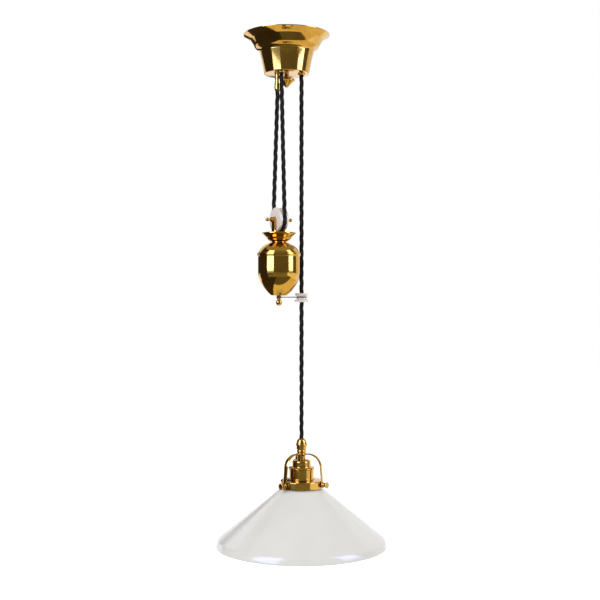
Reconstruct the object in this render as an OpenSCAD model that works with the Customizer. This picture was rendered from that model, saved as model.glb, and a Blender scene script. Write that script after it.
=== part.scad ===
// Rise and fall pendant: a ceiling rose, a counterweight on a pulley and a lamp under an opal cone,
// all on one twisted cord. Millimetres. The origin lies in the ceiling plane on the rose's axis, +Z is
// up, and X runs along the line of the two outlets, which is also the line of the weight's axle.

/* [Cord] */
// Diameter over the three twisted cores
cord_d = 6; // [5:0.1:6.4]
// Gap all round the cord where it runs through a bush or the guide spool
cord_gap = 0.6; // [0.4:0.1:0.8]
// Gap all round the cord where a grip holds it
grip_gap = 0.3; // [0.2:0.1:0.5]
// Gap between the cord and the bottom of a pulley's groove
cord_seat = 0.3; // [0.2:0.1:0.5]
// Gap between two lengths of the cord that belong to different parts
cord_joint = 0.2; // [0.1:0.05:0.4]

/* [Heights] */
// Depth of the canopy below the ceiling
canopy_h = 57.8; // [54:0.2:62]
// Depth of the axle of the pulley inside the canopy
ceiling_axle_drop = 33; // [31:0.5:35]
// Depth of the weight's pulley at rest
weight_drop = 273; // [240:1:330]
// Depth of the top of the lamp's cord grip at rest
lamp_drop = 592.4; // [560:0.2:800]

/* [Canopy] */
// Radius of the rim at the ceiling
canopy_rim_r = 63.2; // [60:0.2:70]
// Height of the rim's upright edge
canopy_edge_h = 0.9; // [0.6:0.1:1.5]
// Radius at the top of the band, under the flared lip
canopy_band_r = 53; // [51:0.5:56]
// Depth of the flared lip
canopy_lip_h = 8; // [7:0.5:10]
// Radius at the foot of the band
canopy_band_foot_r = 48.2; // [47:0.2:50.6]
// Height of the band
canopy_band_h = 8.5; // [7:0.5:10]
// Radius at the inside of the rounded shoulder
canopy_step_r = 43; // [42:0.5:46]
// Height of the rounded shoulder
canopy_step_h = 4.7; // [3:0.1:6]
// Radius where the hollow under the shoulder turns into the bowl
canopy_waist_r = 38.9; // [37:0.3:41]
// Height of that hollow
canopy_waist_h = 9.8; // [8:0.2:12]
// Radius of the flat floor's edge
canopy_floor_r = 33.3; // [32:0.3:35]
// Radius of the rounding round the floor
canopy_floor_round = 1.6; // [1:0.2:2.4]
// Thickness of the spun sheet
canopy_wall = 1; // [0.8:0.1:1.2]

/* [Ceiling strap] */
// Length of the strap
strap_l = 104; // [98:1:108]
// Width of the strap
strap_w = 22; // [20:0.5:24]
// Thickness of the strap
strap_t = 2; // [1.5:0.1:2.5]
// Distance between the middles of the two slots
slot_spacing = 76; // [74:1:78]
// Length of a slot, end to end
slot_l = 20; // [16:1:22]
// Width of a slot
slot_w = 5; // [4:0.2:5.4]
// Diameter of the threaded stud
stud_d = 5; // [4:0.2:5.6]
// Gap all round the stud in its holes
stud_gap = 0.15; // [0.1:0.05:0.3]
// Distance across the locknut's corners
stud_nut_d = 9.6; // [8.8:0.2:11]
// Thickness of the locknut
stud_nut_h = 4; // [3:0.5:5]

/* [Knob] */
// Radius of the knob's rim
knob_r = 12.5; // [11:0.1:12.6]
// Thickness of the rim
knob_rim_h = 2; // [1.5:0.1:3]
// Radius of the neck that presses on the canopy
knob_neck_r = 3.4; // [3.3:0.1:4.4]
// Length of the neck
knob_neck_h = 7; // [5:0.5:9]
// Length of the cone under the rim
knob_cone_h = 10.5; // [6:0.5:12]

/* [Pulleys] */
// Radius at the bottom of the groove
groove_r = 13.6; // [12.6:0.1:14]
// Radius of the flanges
pulley_r = 17.8; // [17.2:0.1:18.4]
// Width of a pulley
pulley_w = 13.4; // [12.6:0.1:14]
// Rounding of the flanges
pulley_round = 1.5; // [1:0.1:2]
// Diameter of an axle
axle_d = 4; // [3:0.1:5]
// Gap all round an axle in its pulley
axle_gap = 0.06; // [0.03:0.01:0.1]
// Gap at each side of a pulley
pulley_side_gap = 0.5; // [0.4:0.1:1]
// Distance of the ceiling pulley's plane in front of the stud
pulley_offset = 14.3; // [14:0.1:15]
// Distance of the anchor grip behind that plane
grip_offset = 11; // [10.8:0.1:12]

/* [Pulley bracket] */
// Thickness of the folded steel
bracket_t = 1.8; // [1.5:0.1:2]
// Width of the bracket at the strap
bracket_w = 16; // [14:0.5:18]
// Radius of the bracket round the axle
bracket_eye_r = 5; // [4.5:0.1:6]
// Diameter of a rivet's shank
rivet_d = 3; // [2.5:0.1:3.5]
// Diameter of a rivet's head
rivet_head_d = 5.6; // [5:0.1:6]
// Thickness of a rivet's head
rivet_head_h = 1.2; // [1:0.1:1.6]

/* [Cord outlets] */
// Radius of a bush's flange
bush_flange_r = 5.4; // [5.2:0.1:5.5]
// Thickness of a bush's flange
bush_flange_h = 2; // [1.5:0.1:3]
// Radius of the thread of a bush or grip
thread_r = 4.5; // [4.4:0.1:4.6]
// Length of that thread above the flange
thread_l = 4.6; // [4:0.1:5]
// Radius of a round locknut
locknut_r = 5.35; // [5.1:0.05:5.4]
// Thickness of a round locknut
locknut_h = 2.6; // [2:0.1:3]
// Radius of the anchor grip's waist
grip_waist_r = 4; // [3.9:0.1:4.2]
// Length of the waist
grip_waist_l = 6; // [5:0.5:7]
// Radius of the anchor grip's cap
grip_cap_r = 5; // [4.8:0.1:5.2]
// Length of the flare above the cap
grip_flare_l = 10; // [8:0.5:12]
// Length of the domed cap
grip_cap_l = 8; // [7:0.5:10]

/* [Terminals] */
// Length of the terminal block
block_l = 30; // [26:1:32]
// Width of the terminal block
block_w = 17; // [15:0.5:18]
// Height of the terminal block
block_h = 14; // [12:0.5:15]
// Distance from the stud to the middle of the block
block_y = 17; // [16.5:0.5:18]
// Diameter of a terminal screw
block_screw_d = 3.4; // [3:0.1:3.8]
// Depth at which the cord runs into the block
cord_entry_drop = 10; // [9:0.2:12]
// Radius of the bend of the cord into the block
cord_entry_bend = 12; // [11:0.5:13]

/* [Weight] */
// Radius of the dish's rim
dish_r = 24.4; // [23:0.2:26]
// Depth from the pulley's middle to the rim
dish_drop = 18.4; // [18:0.2:20]
// Height of the rim's upright edge
dish_edge_h = 2.2; // [1.6:0.1:3]
// Radius at the crease between the dish's flare and its foot
dish_crease_r = 19.3; // [18.5:0.1:20]
// Height of the dish
dish_h = 13.4; // [12:0.2:14]
// Radius of the dish where it turns in
dish_foot_r = 13.8; // [13.2:0.1:15]
// Radius of the dish's floor
dish_floor_r = 10.6; // [10.2:0.1:11]
// Radius of the collar between dish and lid
collar_r = 10.3; // [9.5:0.1:11]
// Height of that collar
collar_h = 1.4; // [1:0.1:2]
// Radius of the flat on top of the lid
lid_top_r = 12.4; // [11:0.2:14]
// Height of the domed lid
lid_h = 14.3; // [12:0.2:16]
// Radius of the body shell
shell_r = 30.4; // [29:0.1:31]
// Thickness of the sheet of dish, lid and shell
weight_wall = 1; // [0.8:0.1:1.2]
// How far the band stands out from the shell
band_proud = 1.3; // [1:0.1:1.6]
// Height of the band
band_h = 6; // [5:0.2:7]
// Height of the shell's straight wall below the band
shell_straight_h = 22.5; // [18:0.5:30]
// Height of the shell's rounded bottom
shell_bowl_h = 34.6; // [30:0.2:40]
// Radius of the flat at the bottom
shell_flat_r = 8; // [7:0.2:10]
// Gap between the band and the cord that carries the lamp
band_clear = 0.35; // [0.3:0.05:0.6]
// Gap between the ballast and the shell
ballast_gap = 0.2; // [0.1:0.05:0.3]
// Depth of the free space above the ballast
ballast_space = 6; // [4:0.5:12]
// Diameter of the tie rod
rod_d = 5; // [4:0.2:5.4]
// Gap all round the tie rod
rod_gap = 0.15; // [0.1:0.05:0.2]

/* [Fork] */
// Width of the fork's strip
fork_w = 8.4; // [7:0.1:9]
// Thickness of the fork's strip
fork_t = 2.4; // [2:0.1:2.6]
// Radius inside the fork's two bends
fork_bend_r = 1.6; // [1:0.1:2]
// Height of the spacer under the fork
spacer_h = 1.6; // [1.2:0.1:2.4]
// Radius of the spacer
spacer_r = 6; // [5:0.2:8]
// Height of the nut on the fork's base
fork_nut_h = 3.6; // [3:0.1:4]
// Distance across that nut's corners
fork_nut_d = 9.2; // [8:0.2:10]
// Radius of the axle's collars
axle_collar_r = 3.7; // [3:0.1:4]
// Length of the axle's collars
axle_collar_l = 3.4; // [2:0.1:4]
// Radius of the ball at each end of the axle
axle_ball_r = 2.8; // [2.5:0.1:3.4]
// Distance from a collar to the ball's middle
axle_ball_out = 5.6; // [4:0.2:8]
// Radius of the neck beside a ball
axle_neck_r = 1.5; // [1.2:0.1:1.8]

/* [Finial and guide] */
// Radius of the finial's washer
finial_washer_r = 3.4; // [3:0.1:4]
// Thickness of the finial's washer
finial_washer_h = 1.1; // [0.8:0.1:1.6]
// Radius of the finial's stem
finial_stem_r = 2.9; // [2.8:0.05:3]
// Radius of the finial's bead
finial_bead_r = 3.6; // [3.3:0.1:4]
// Radius of the finial's ball
finial_ball_r = 4.6; // [4:0.1:5.4]
// Depth from the shell's bottom to the ball's middle
finial_ball_drop = 9.7; // [9.2:0.1:12]
// Diameter of the guide wire
wire_d = 1.4; // [1.2:0.1:1.6]
// Gap between the wire and what it is wound round
wire_gap = 0.1; // [0.05:0.05:0.2]
// Radius of the guide spool's flanges
spool_r = 10.1; // [9.4:0.1:11]
// Radius of the guide spool's groove
spool_groove_r = 7.2; // [6.6:0.1:7.6]
// Height of the guide spool
spool_h = 13.2; // [12:0.2:14]
// Width of the guide spool's groove
spool_groove_w = 5.2; // [4:0.2:6]

/* [Lamp grip] */
// Length of the domed cap
lamp_cap_h = 8; // [7:0.2:10]
// Radius of the domed cap
lamp_cap_r = 7.7; // [7.4:0.1:8]
// Radius of the bead under the cap
lamp_bead_r = 8.5; // [8.2:0.1:9]
// Height of that bead
lamp_bead_h = 2.2; // [1.8:0.1:3]
// Radius of the grip's body
grip_body_r = 7.6; // [7:0.1:7.9]
// Length of the grip's body
grip_body_h = 5.7; // [5:0.1:8]
// Radius of the groove round the body
grip_groove_r = 6.1; // [5.8:0.1:6.3]
// Height of that groove
grip_groove_h = 1; // [0.8:0.1:1.4]
// Radius of the lower bead of the grip
grip_foot_r = 6.9; // [6.6:0.1:7.4]
// Height of that bead
grip_foot_h = 3.3; // [2.4:0.1:4]
// Height of the neck between that bead and the carrier
grip_neck_h = 1.2; // [0.8:0.1:1.8]
// Radius of the thread of the nipple
nipple_r = 4.7; // [4.5:0.05:4.8]
// Gap all round the nipple in what it screws into
nipple_gap = 0.1; // [0.05:0.05:0.2]
// Radius of the nipple's collar, seen under the carrier
nipple_collar_r = 6; // [5.5:0.1:6.4]
// Height of that collar
nipple_collar_h = 5.8; // [5:0.2:9]
// Length of the nipple's thread above and below
nipple_thread_l = 7; // [5:0.5:7.5]

/* [Shade carrier] */
// Radius of the hub
hub_r = 6.9; // [6.6:0.1:7.4]
// Height of the hub
hub_h = 3.1; // [2.6:0.1:3.6]
// Turn of the first arm from the line of the outlets, in degrees
arm_turn = 11; // [0:1:20]
// Thickness of an arm's half-round strip
arm_t = 1.8; // [1.6:0.1:2.4]
// Width of that strip
arm_w = 7; // [6:0.2:8]
// Thickness of that strip at its edges
arm_edge_t = 0.5; // [0.3:0.1:0.8]
// Outside radius of an arm's bend
arm_bend_r = 20; // [17:0.5:22]
// Lean of an arm's leg from upright, in degrees
arm_lean = 5; // [3:0.5:7]
// Gap between the arms' feet and the gallery
arm_gap = 0.7; // [0.6:0.1:1]
// Radius of the eye at an arm's foot
arm_eye_r = 4; // [3.6:0.1:4.4]
// How much leaner the straights of an arm are drawn than its bend
arm_ease = 0.06; // [0.04:0.02:0.1]
// Radius of a boss at a foot
boss_r = 3.6; // [3.2:0.1:3.8]
// Length of a boss
boss_l = 2.4; // [1.5:0.1:3]

/* [Lampholder] */
// Radius of the cap
cap_r = 13.7; // [13:0.1:14.4]
// Height of the cap
cap_h = 11.6; // [9:0.1:13]
// Thickness of the cap's and skirt's sheet
holder_wall = 0.9; // [0.8:0.1:1.1]
// Radius of the ring
holder_ring_r = 19.2; // [18.8:0.1:20]
// Height of the ring
holder_ring_h = 3; // [2:0.2:4]
// Radius of the skirt
skirt_r = 18; // [17.8:0.1:18.4]
// Height of the skirt
skirt_h = 15; // [12:0.1:18]
// How far the skirt's foot stands out
skirt_foot = 0.7; // [0.4:0.1:1]
// Height of the skirt's foot
skirt_foot_h = 1.4; // [1:0.1:2]
// Radius of the porcelain insert
insert_r = 16.3; // [16:0.1:16.5]
// How far the insert reaches below the gallery's plate
insert_reach = 12; // [9:0.5:14]
// Bore of the socket's thread shell, at the crests
socket_r = 13.4; // [13.3:0.05:13.5]
// Depth of the socket
socket_depth = 22; // [20:0.5:25]
// Thickness of the thread shell
socket_wall = 0.5; // [0.4:0.05:0.6]
// Gap between the thread shell and the insert
socket_gap = 0.25; // [0.15:0.05:0.4]
// Radius of the centre contact
contact_r = 4.5; // [3:0.5:6]
// Thickness of the centre contact
contact_t = 1.6; // [1:0.2:2.4]
// Radius of the shade ring
shade_ring_r = 19.2; // [18.6:0.2:20.4]
// Height of the shade ring
shade_ring_h = 4.4; // [3:0.2:6]

/* [Gallery] */
// Inside radius of the gallery, for the glass
fitter_r = 30; // [29:0.1:31]
// Thickness of the gallery
gallery_wall = 1; // [0.8:0.1:1.2]
// Height of the gallery's side
gallery_side_h = 10.7; // [9.5:0.1:12]
// Fall of the gallery's plate from its middle to its side
gallery_fall = 1.2; // [0.8:0.1:3]
// Depth of the thumb screws below the top of the side
screw_drop = 5.6; // [5.4:0.1:6]
// Diameter of a thumb screw's shank
screw_d = 3.6; // [3:0.1:4]
// Gap all round a thumb screw's shank
screw_gap = 0.15; // [0.1:0.05:0.2]
// Radius of a thumb screw's head
screw_head_r = 4.5; // [4:0.1:5]
// Thickness of a thumb screw's head
screw_head_t = 3.2; // [2.5:0.1:4]
// Length of the collar behind the head
screw_collar_l = 1.4; // [1:0.1:2]
// Number of grooves round a thumb screw's head
knurls = 16; // [12:1:18]

/* [Glass] */
// Radius of the shade's rim
shade_r = 125.7; // [110:0.5:140]
// Height of the cone, from the gallery to the turned rim
cone_h = 68.1; // [60:0.1:90]
// Width of the turned rim
shade_rim_w = 5.9; // [4:0.1:8]
// Height of the turned rim
shade_rim_h = 11.9; // [10:0.1:14]
// Radius of the shoulder just under the gallery
shade_shoulder_r = 35.6; // [35:0.2:38]
// Height of the shoulder
shade_shoulder_h = 5.4; // [4.8:0.2:7]
// Thickness of the glass
glass_t = 3; // [2.6:0.1:3.2]
// Gap between the glass and the gallery
glass_gap = 0.6; // [0.4:0.1:0.8]
// Depth of the groove that the screws hold
glass_groove = 1.5; // [1.2:0.1:1.8]
// Height of the bead above that groove
glass_bead_h = 2.2; // [1.8:0.1:2.4]

/* [Hidden] */

$fn = 72;
SMALL_FN = 32;
CURVE_STEPS = 8;

BRASS = "#c9a24a";
STEEL = "#9a9d9f";
ZINC = "#b9bcbd";
PORCELAIN = "#e6e0d6";
GLASS = "#f2f2ef";
CORD = "#2c2724";
LEAD = "#6b6d70";
PLASTIC = "#e8e6df";

// Points of a curve from a to c that leaves a and reaches c along the lines to b
function bend(a, b, c, n = CURVE_STEPS) =
    [for (i = [0:n]) let (t = i / n) (1 - t) ^ 2 * a + 2 * t * (1 - t) * b + t ^ 2 * c];

// Points of an S curve from a to d, with b and c to steer it
function sweep(a, b, c, d, n = CURVE_STEPS) =
    [for (i = [0:n])
        let (t = i / n, s = 1 - t)
            s ^ 3 * a + 3 * s ^ 2 * t * b + 3 * s * t ^ 2 * c + t ^ 3 * d];

// Unit direction of an outline at its point i
function along(p, i) =
    let (d = p[min(i + 1, len(p) - 1)] - p[max(i - 1, 0)]) d / norm(d);

// The outline moved by a distance to its right-hand side
function inset(p, t) =
    [for (i = [0:len(p) - 1]) let (d = along(p, i)) p[i] + t * [d[1], -d[0]]];

// The outline on the other side of the axis
function mirrored(p) = [for (q = p) [-q[0], q[1]]];

function backwards(p) = [for (i = [len(p) - 1:-1:0]) p[i]];

// A closed outline of a wall that lies to the right of an open one
function wall(p, t) = concat(p, backwards(inset(p, t)));

// Heights and places that follow from the sizes above
cord_r = cord_d / 2;
loop_r = groove_r + cord_seat + cord_r;
earth_x = strap_w / 2 - block_screw_d / 2 - 1.2;
earth_y = block_y - block_w / 2 - block_screw_d - 1.4;
canopy_floor_z = -canopy_h;
ceiling_axle_z = -ceiling_axle_drop;
pulley_z = -weight_drop;
outlet_y = -pulley_offset;
riser = [-loop_r, outlet_y];
drop = [loop_r, outlet_y];
anchor = [-loop_r, outlet_y + grip_offset];
bush_bore_r = cord_r + cord_gap;
grip_bore_r = cord_r + grip_gap;
stud_hole_r = stud_d / 2 + stud_gap;
stud_foot_z = canopy_floor_z - knob_neck_h - knob_rim_h - knob_cone_h / 2;

// The weight hangs midway between the two strands, with its band just clear of the lamp's cord
band_r = shell_r + band_proud;
weight_y = (anchor[1] + riser[1]) / 2;
weight_reach = band_r + cord_r + band_clear;
weight_x = drop[0] - sqrt(weight_reach ^ 2 - (weight_y - drop[1]) ^ 2);
weight_at = [weight_x, weight_y, 0];
lamp_at = [drop[0], drop[1], 0];

dish_z = pulley_z - dish_drop;
dish_floor_z = dish_z - dish_h;
lid_z = dish_floor_z - collar_h;
band_z = lid_z - lid_h;
shell_top_z = band_z - band_proud / 2;
bowl_z = band_z - band_h - shell_straight_h;
shell_floor_z = bowl_z - shell_bowl_h;
rod_hole_r = rod_d / 2 + rod_gap;

fork_inside = pulley_w / 2 + pulley_side_gap + pulley_side_gap;
fork_outside = fork_inside + fork_t;
fork_base_z = dish_floor_z + weight_wall + spacer_h;
fork_top_z = pulley_z + fork_w / 2;
collar_end = fork_outside + axle_collar_l;

wire_z = shell_floor_z - finial_washer_h - wire_gap - wire_d / 2;
finial_bead_z = wire_z - wire_d / 2 - wire_gap;
spool_z = wire_z - wire_d / 2;

lamp_z = -lamp_drop;
grip_z = lamp_z - lamp_cap_h - lamp_bead_h;
grip_foot_z = grip_z - grip_body_h - grip_groove_h;
hub_z = grip_foot_z - grip_foot_h - grip_neck_h;
nipple_collar_z = hub_z - hub_h;
cap_z = nipple_collar_z - nipple_collar_h;
holder_ring_z = cap_z - cap_h;
skirt_z = holder_ring_z - holder_ring_h;
plate_z = skirt_z - skirt_h;
plate_hole_r = insert_r + holder_wall;
insert_foot_z = plate_z - insert_reach;
side_z = plate_z - gallery_fall;
screw_z = side_z - screw_drop;
gallery_foot_z = side_z - gallery_side_h;
gallery_r = fitter_r + gallery_wall;
glass_neck_r = fitter_r - glass_gap;
groove_hold_r = glass_neck_r - glass_groove;
arm_foot_r = gallery_r + arm_gap + arm_t;
boss_end = arm_foot_r + boss_l;
glass_bead_z = screw_z + screw_d / 2 + screw_gap;
glass_top_z = glass_bead_z + glass_bead_h;
shoulder_z = gallery_foot_z - shade_shoulder_h;
turn_z = shoulder_z - cone_h;
shade_turn_r = shade_r - shade_rim_w;

// An arm runs level from the hub, bends down and leans out to its foot
bend_z = hub_z - arm_bend_r;
bend_x = arm_foot_r - (arm_bend_r - (screw_z - bend_z) * sin(arm_lean)) / cos(arm_lean);
leg_top = [bend_x + arm_bend_r * cos(arm_lean), bend_z + arm_bend_r * sin(arm_lean)];
leg_l = norm(leg_top - [arm_foot_r, screw_z]);

// Directions of the three arms and their screws as seen from above
LEFT = 180 + arm_turn;
RIGHT = LEFT + 120;
BACK = RIGHT + 120;

// ---- Shared shapes ----

module turned(outline) {
    rotate_extrude() polygon(outline);
}

module tube(outer_r, inner_r, h) {
    rotate_extrude() translate([inner_r, 0]) square([outer_r - inner_r, h]);
}

// A straight length of round stock from p to q
module stick(p, q, r) {
    d = q - p;
    translate(p) rotate([0, acos(d[2] / norm(d)), atan2(d[1], d[0])]) cylinder(h = norm(d), r = r);
}

// A part of a ring of cord in the XY plane, from one angle to another
module cord_arc(r, from, to) {
    rotate_extrude(angle = to - from, start = from) translate([r, 0]) circle(r = cord_r, $fn = SMALL_FN);
}

module at_weight(z = 0) {
    translate([weight_at[0], weight_at[1], z]) children();
}

module at_lamp(z = 0) {
    translate([lamp_at[0], lamp_at[1], z]) children();
}

// Z of the child turns to X
module facing_x() {
    rotate([90, 0, 90]) children();
}

// Z of the child turns to -Y
module facing_front() {
    rotate([90, 0, 0]) children();
}

module pulley() {
    lip = pulley_w / 2 - pulley_round;
    rotate_extrude() difference() {
        union() {
            translate([axle_d / 2 + axle_gap, -pulley_w / 2])
                square([pulley_r - pulley_round - axle_d / 2 - axle_gap, pulley_w]);
            translate([axle_d / 2 + axle_gap, -lip])
                square([pulley_r - axle_d / 2 - axle_gap, 2 * lip]);
            for (s = [-1, 1]) translate([pulley_r - pulley_round, s * lip])
                circle(r = pulley_round, $fn = SMALL_FN);
        }
        translate([loop_r, 0]) circle(r = cord_r + cord_seat, $fn = SMALL_FN);
        translate([loop_r, -cord_r - cord_seat]) square([pulley_r, 2 * (cord_r + cord_seat)]);
    }
}

// ---- Ceiling rose ----

module ceiling_strap() {
    color(ZINC) difference() {
        translate([-strap_w / 2, -strap_l / 2, -strap_t]) cube([strap_w, strap_l, strap_t]);
        translate([0, 0, -strap_t - 1]) cylinder(h = strap_t + 2, r = stud_hole_r);
        for (side = [-1, 1]) translate([0, side * slot_spacing / 2, -strap_t - 1])
            linear_extrude(strap_t + 2) {
                square([slot_w, slot_l - slot_w], center = true);
                for (end = [-1, 1]) translate([0, end * (slot_l - slot_w) / 2]) circle(d = slot_w);
            }
        for (side = [-1, 1]) translate([side * bracket_w / 3, outlet_y, -strap_t - 1])
            cylinder(h = strap_t + 2, d = rivet_d + 2 * rod_gap);
        translate([earth_x, earth_y, -strap_t - 1]) cylinder(h = strap_t + 2, d = block_screw_d);
    }
}

module canopy_stud() {
    color(ZINC) translate([0, 0, stud_foot_z]) cylinder(h = -stud_foot_z - strap_t / 4, d = stud_d);
}

module stud_locknut() {
    color(ZINC) translate([0, 0, -strap_t - stud_nut_h]) difference() {
        cylinder(h = stud_nut_h, d = stud_nut_d, $fn = 6);
        translate([0, 0, -1]) cylinder(h = stud_nut_h + 2, r = stud_hole_r);
    }
}

band_top_z = -canopy_lip_h;
band_foot_z = band_top_z - canopy_band_h;
step_z = band_foot_z - canopy_step_h;
waist_z = step_z - canopy_waist_h;

function canopy_outline() = concat(
    [[canopy_rim_r, 0]],
    bend([canopy_rim_r, -canopy_edge_h], [(canopy_rim_r + canopy_band_r) / 2 - 1.3, band_top_z / 2],
         [canopy_band_r, band_top_z]),
    bend([canopy_band_foot_r, band_foot_z], [canopy_band_foot_r - 0.8, step_z + 0.2],
         [canopy_step_r, step_z], 6),
    bend([canopy_step_r - 0.3, step_z - 0.1], [canopy_waist_r + 0.7, step_z - 2.3],
         [canopy_waist_r, waist_z]),
    bend([canopy_waist_r - 0.4, waist_z - 1.8],
         [(canopy_waist_r + canopy_floor_r) / 2, (waist_z + canopy_floor_z) / 2 + 2],
         [canopy_floor_r, canopy_floor_z + canopy_floor_round], 5),
    bend([canopy_floor_r - 0.1, canopy_floor_z + canopy_floor_round / 2],
         [canopy_floor_r - 0.3, canopy_floor_z],
         [canopy_floor_r - canopy_floor_round, canopy_floor_z], 3),
    [[0, canopy_floor_z]]
);

module canopy() {
    color(BRASS) difference() {
        turned(wall(canopy_outline(), canopy_wall));
        translate([0, 0, canopy_floor_z - 1]) {
            cylinder(h = canopy_wall + 2, r = stud_hole_r);
            for (outlet = [riser, drop, anchor])
                translate([outlet[0], outlet[1], 0])
                    cylinder(h = canopy_wall + 2, r = thread_r + stud_gap);
        }
    }
}

module canopy_knob() {
    neck_z = canopy_floor_z - knob_neck_h;
    rim_z = neck_z - knob_rim_h;
    tip_z = rim_z - knob_cone_h;
    outline = concat(
        [[0, canopy_floor_z], [knob_neck_r, canopy_floor_z]],
        bend([knob_neck_r, neck_z + 1], [knob_neck_r + 0.4, neck_z], [knob_neck_r + 3, neck_z - 0.2], 4),
        bend([knob_r - 1.6, neck_z - 0.6], [knob_r, neck_z - 0.8], [knob_r, neck_z - 1.6], 3),
        bend([knob_r, rim_z], [knob_r, rim_z - 0.8], [knob_r - 1.6, rim_z - 1.2], 3),
        bend([knob_r / 2, rim_z - knob_cone_h * 0.55], [knob_neck_r, tip_z + 2],
             [knob_neck_r - 1, tip_z + 0.8], 4),
        [[knob_neck_r - 2, tip_z], [0, tip_z]]
    );
    color(BRASS) difference() {
        turned(outline);
        translate([0, 0, stud_foot_z - cord_gap]) cylinder(h = -stud_foot_z, r = stud_hole_r);
    }
}

bracket_inside = pulley_w / 2 + pulley_side_gap;
bracket_outside = bracket_inside + bracket_t;

module pulley_bracket() {
    web_z = -strap_t - bracket_t;
    arm_h = -strap_t - ceiling_axle_z;
    color(STEEL) translate([0, outlet_y, 0]) difference() {
        union() {
            translate([-bracket_w / 2, -bracket_outside, web_z])
                cube([bracket_w, 2 * bracket_outside, bracket_t]);
            for (side = [-bracket_inside, bracket_outside])
                translate([0, side, ceiling_axle_z]) facing_front() linear_extrude(bracket_t) {
                    circle(r = bracket_eye_r);
                    polygon([[-bracket_w / 2, arm_h], [bracket_w / 2, arm_h], [bracket_w / 2, arm_h - 6],
                             [bracket_eye_r, 0], [-bracket_eye_r, 0], [-bracket_w / 2, arm_h - 6]]);
                }
        }
        translate([0, bracket_outside + 1, ceiling_axle_z]) facing_front()
            cylinder(h = 2 * bracket_outside + 2, d = axle_d + 2 * rod_gap);
        for (side = [-1, 1]) translate([side * bracket_w / 3, 0, web_z - 1])
            cylinder(h = bracket_t + 2, d = rivet_d + 2 * rod_gap);
    }
}

module bracket_rivets() {
    head_z = -strap_t - bracket_t - rivet_head_h;
    color(ZINC) for (side = [-1, 1]) translate([side * bracket_w / 3, outlet_y, head_z]) {
        cylinder(h = rivet_head_h, d1 = rivet_head_d - 1, d2 = rivet_head_d);
        cylinder(h = -head_z - strap_t / 4, d = rivet_d);
    }
}

module ceiling_axle() {
    reach = bracket_outside + rivet_head_h + 1;
    color(ZINC) translate([0, outlet_y + reach, ceiling_axle_z]) facing_front()
        cylinder(h = 2 * reach, d = axle_d);
}

module ceiling_axle_clips() {
    color(STEEL) for (y = [bracket_outside + rivet_head_h, -bracket_outside])
        translate([0, outlet_y + y, ceiling_axle_z]) facing_front()
            tube(axle_d / 2 + 1.6, axle_d / 2 + rod_gap, rivet_head_h - rod_gap);
}

module ceiling_pulley() {
    color(PORCELAIN) translate([0, outlet_y, ceiling_axle_z]) facing_front() pulley();
}

module bush(outlet) {
    color(BRASS) translate([outlet[0], outlet[1], canopy_floor_z]) {
        translate([0, 0, -bush_flange_h]) rotate_extrude() polygon([
            [bush_bore_r, 0.6], [bush_bore_r + 0.6, 0], [bush_flange_r - 0.8, 0], [bush_flange_r, 0.8],
            [bush_flange_r, bush_flange_h], [thread_r, bush_flange_h], [thread_r, bush_flange_h + thread_l],
            [bush_bore_r, bush_flange_h + thread_l]]);
    }
}

module riser_bush() {
    bush(riser);
}

module drop_bush() {
    bush(drop);
}

module locknut(outlet) {
    translate([outlet[0], outlet[1], canopy_floor_z + canopy_wall])
        tube(locknut_r, thread_r + stud_gap, locknut_h);
}

module bush_locknuts() {
    color(BRASS) for (outlet = [riser, drop]) locknut(outlet);
}

module anchor_locknut() {
    color(BRASS) locknut(anchor);
}

grip_flange_z = canopy_floor_z - bush_flange_h - 0.6;
grip_waist_z = grip_flange_z - grip_waist_l;
grip_flare_z = grip_waist_z - grip_flare_l;
grip_tip_z = grip_flare_z - grip_cap_l;

module anchor_grip_body() {
    bead_r = grip_waist_r + 0.5;
    color(BRASS) translate([anchor[0], anchor[1], 0]) turned(concat(
        [[grip_bore_r, canopy_floor_z + thread_l], [thread_r, canopy_floor_z + thread_l],
         [thread_r, canopy_floor_z], [bush_flange_r - 0.6, canopy_floor_z],
         [bush_flange_r - 0.6, grip_flange_z + 0.8]],
        bend([bush_flange_r - 1, grip_flange_z], [grip_waist_r, grip_flange_z],
             [grip_waist_r, grip_flange_z - 1], 3),
        [[grip_waist_r, grip_waist_z + 1], [bead_r, grip_waist_z + 0.6], [bead_r, grip_waist_z - 0.6],
         [grip_waist_r, grip_waist_z - 1]],
        bend([grip_waist_r, grip_waist_z - 2], [grip_waist_r + 0.2, grip_flare_z + 2],
             [grip_cap_r, grip_flare_z], 4),
        [[grip_bore_r, grip_flare_z]]
    ));
}

module anchor_grip_cap() {
    color(BRASS) translate([anchor[0], anchor[1], 0]) turned(concat(
        [[grip_bore_r, grip_flare_z]],
        bend([grip_cap_r, grip_flare_z], [grip_cap_r, grip_tip_z + 3], [grip_bore_r + 0.6, grip_tip_z]),
        [[grip_bore_r, grip_tip_z]]
    ));
}

block_z = -strap_t - block_h;

module terminal_block() {
    pitch = block_l / 3;
    tower_h = 3;
    color(PLASTIC) difference() {
        union() {
            translate([-block_l / 2, block_y - block_w / 2, block_z + tower_h])
                cube([block_l, block_w, block_h - tower_h]);
            for (i = [-1:1]) translate([i * pitch, block_y, block_z])
                cylinder(h = tower_h, d = pitch - 1.6);
        }
        for (i = [-1:1]) translate([i * pitch, block_y, block_z - 1])
            cylinder(h = 2 * tower_h, d = block_screw_d + 0.6);
        for (i = [-1, 1]) translate([i * pitch / 2, block_y, block_z - 1])
            cylinder(h = block_h + 2, d = block_screw_d);
    }
}

module terminal_screws() {
    pitch = block_l / 3;
    color(ZINC) for (i = [-1:1]) translate([i * pitch, block_y, block_z + 1.6]) difference() {
        cylinder(h = 3.2, d = block_screw_d);
        translate([-block_screw_d, -0.4, -1]) cube([2 * block_screw_d, 0.8, 2]);
    }
}

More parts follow.
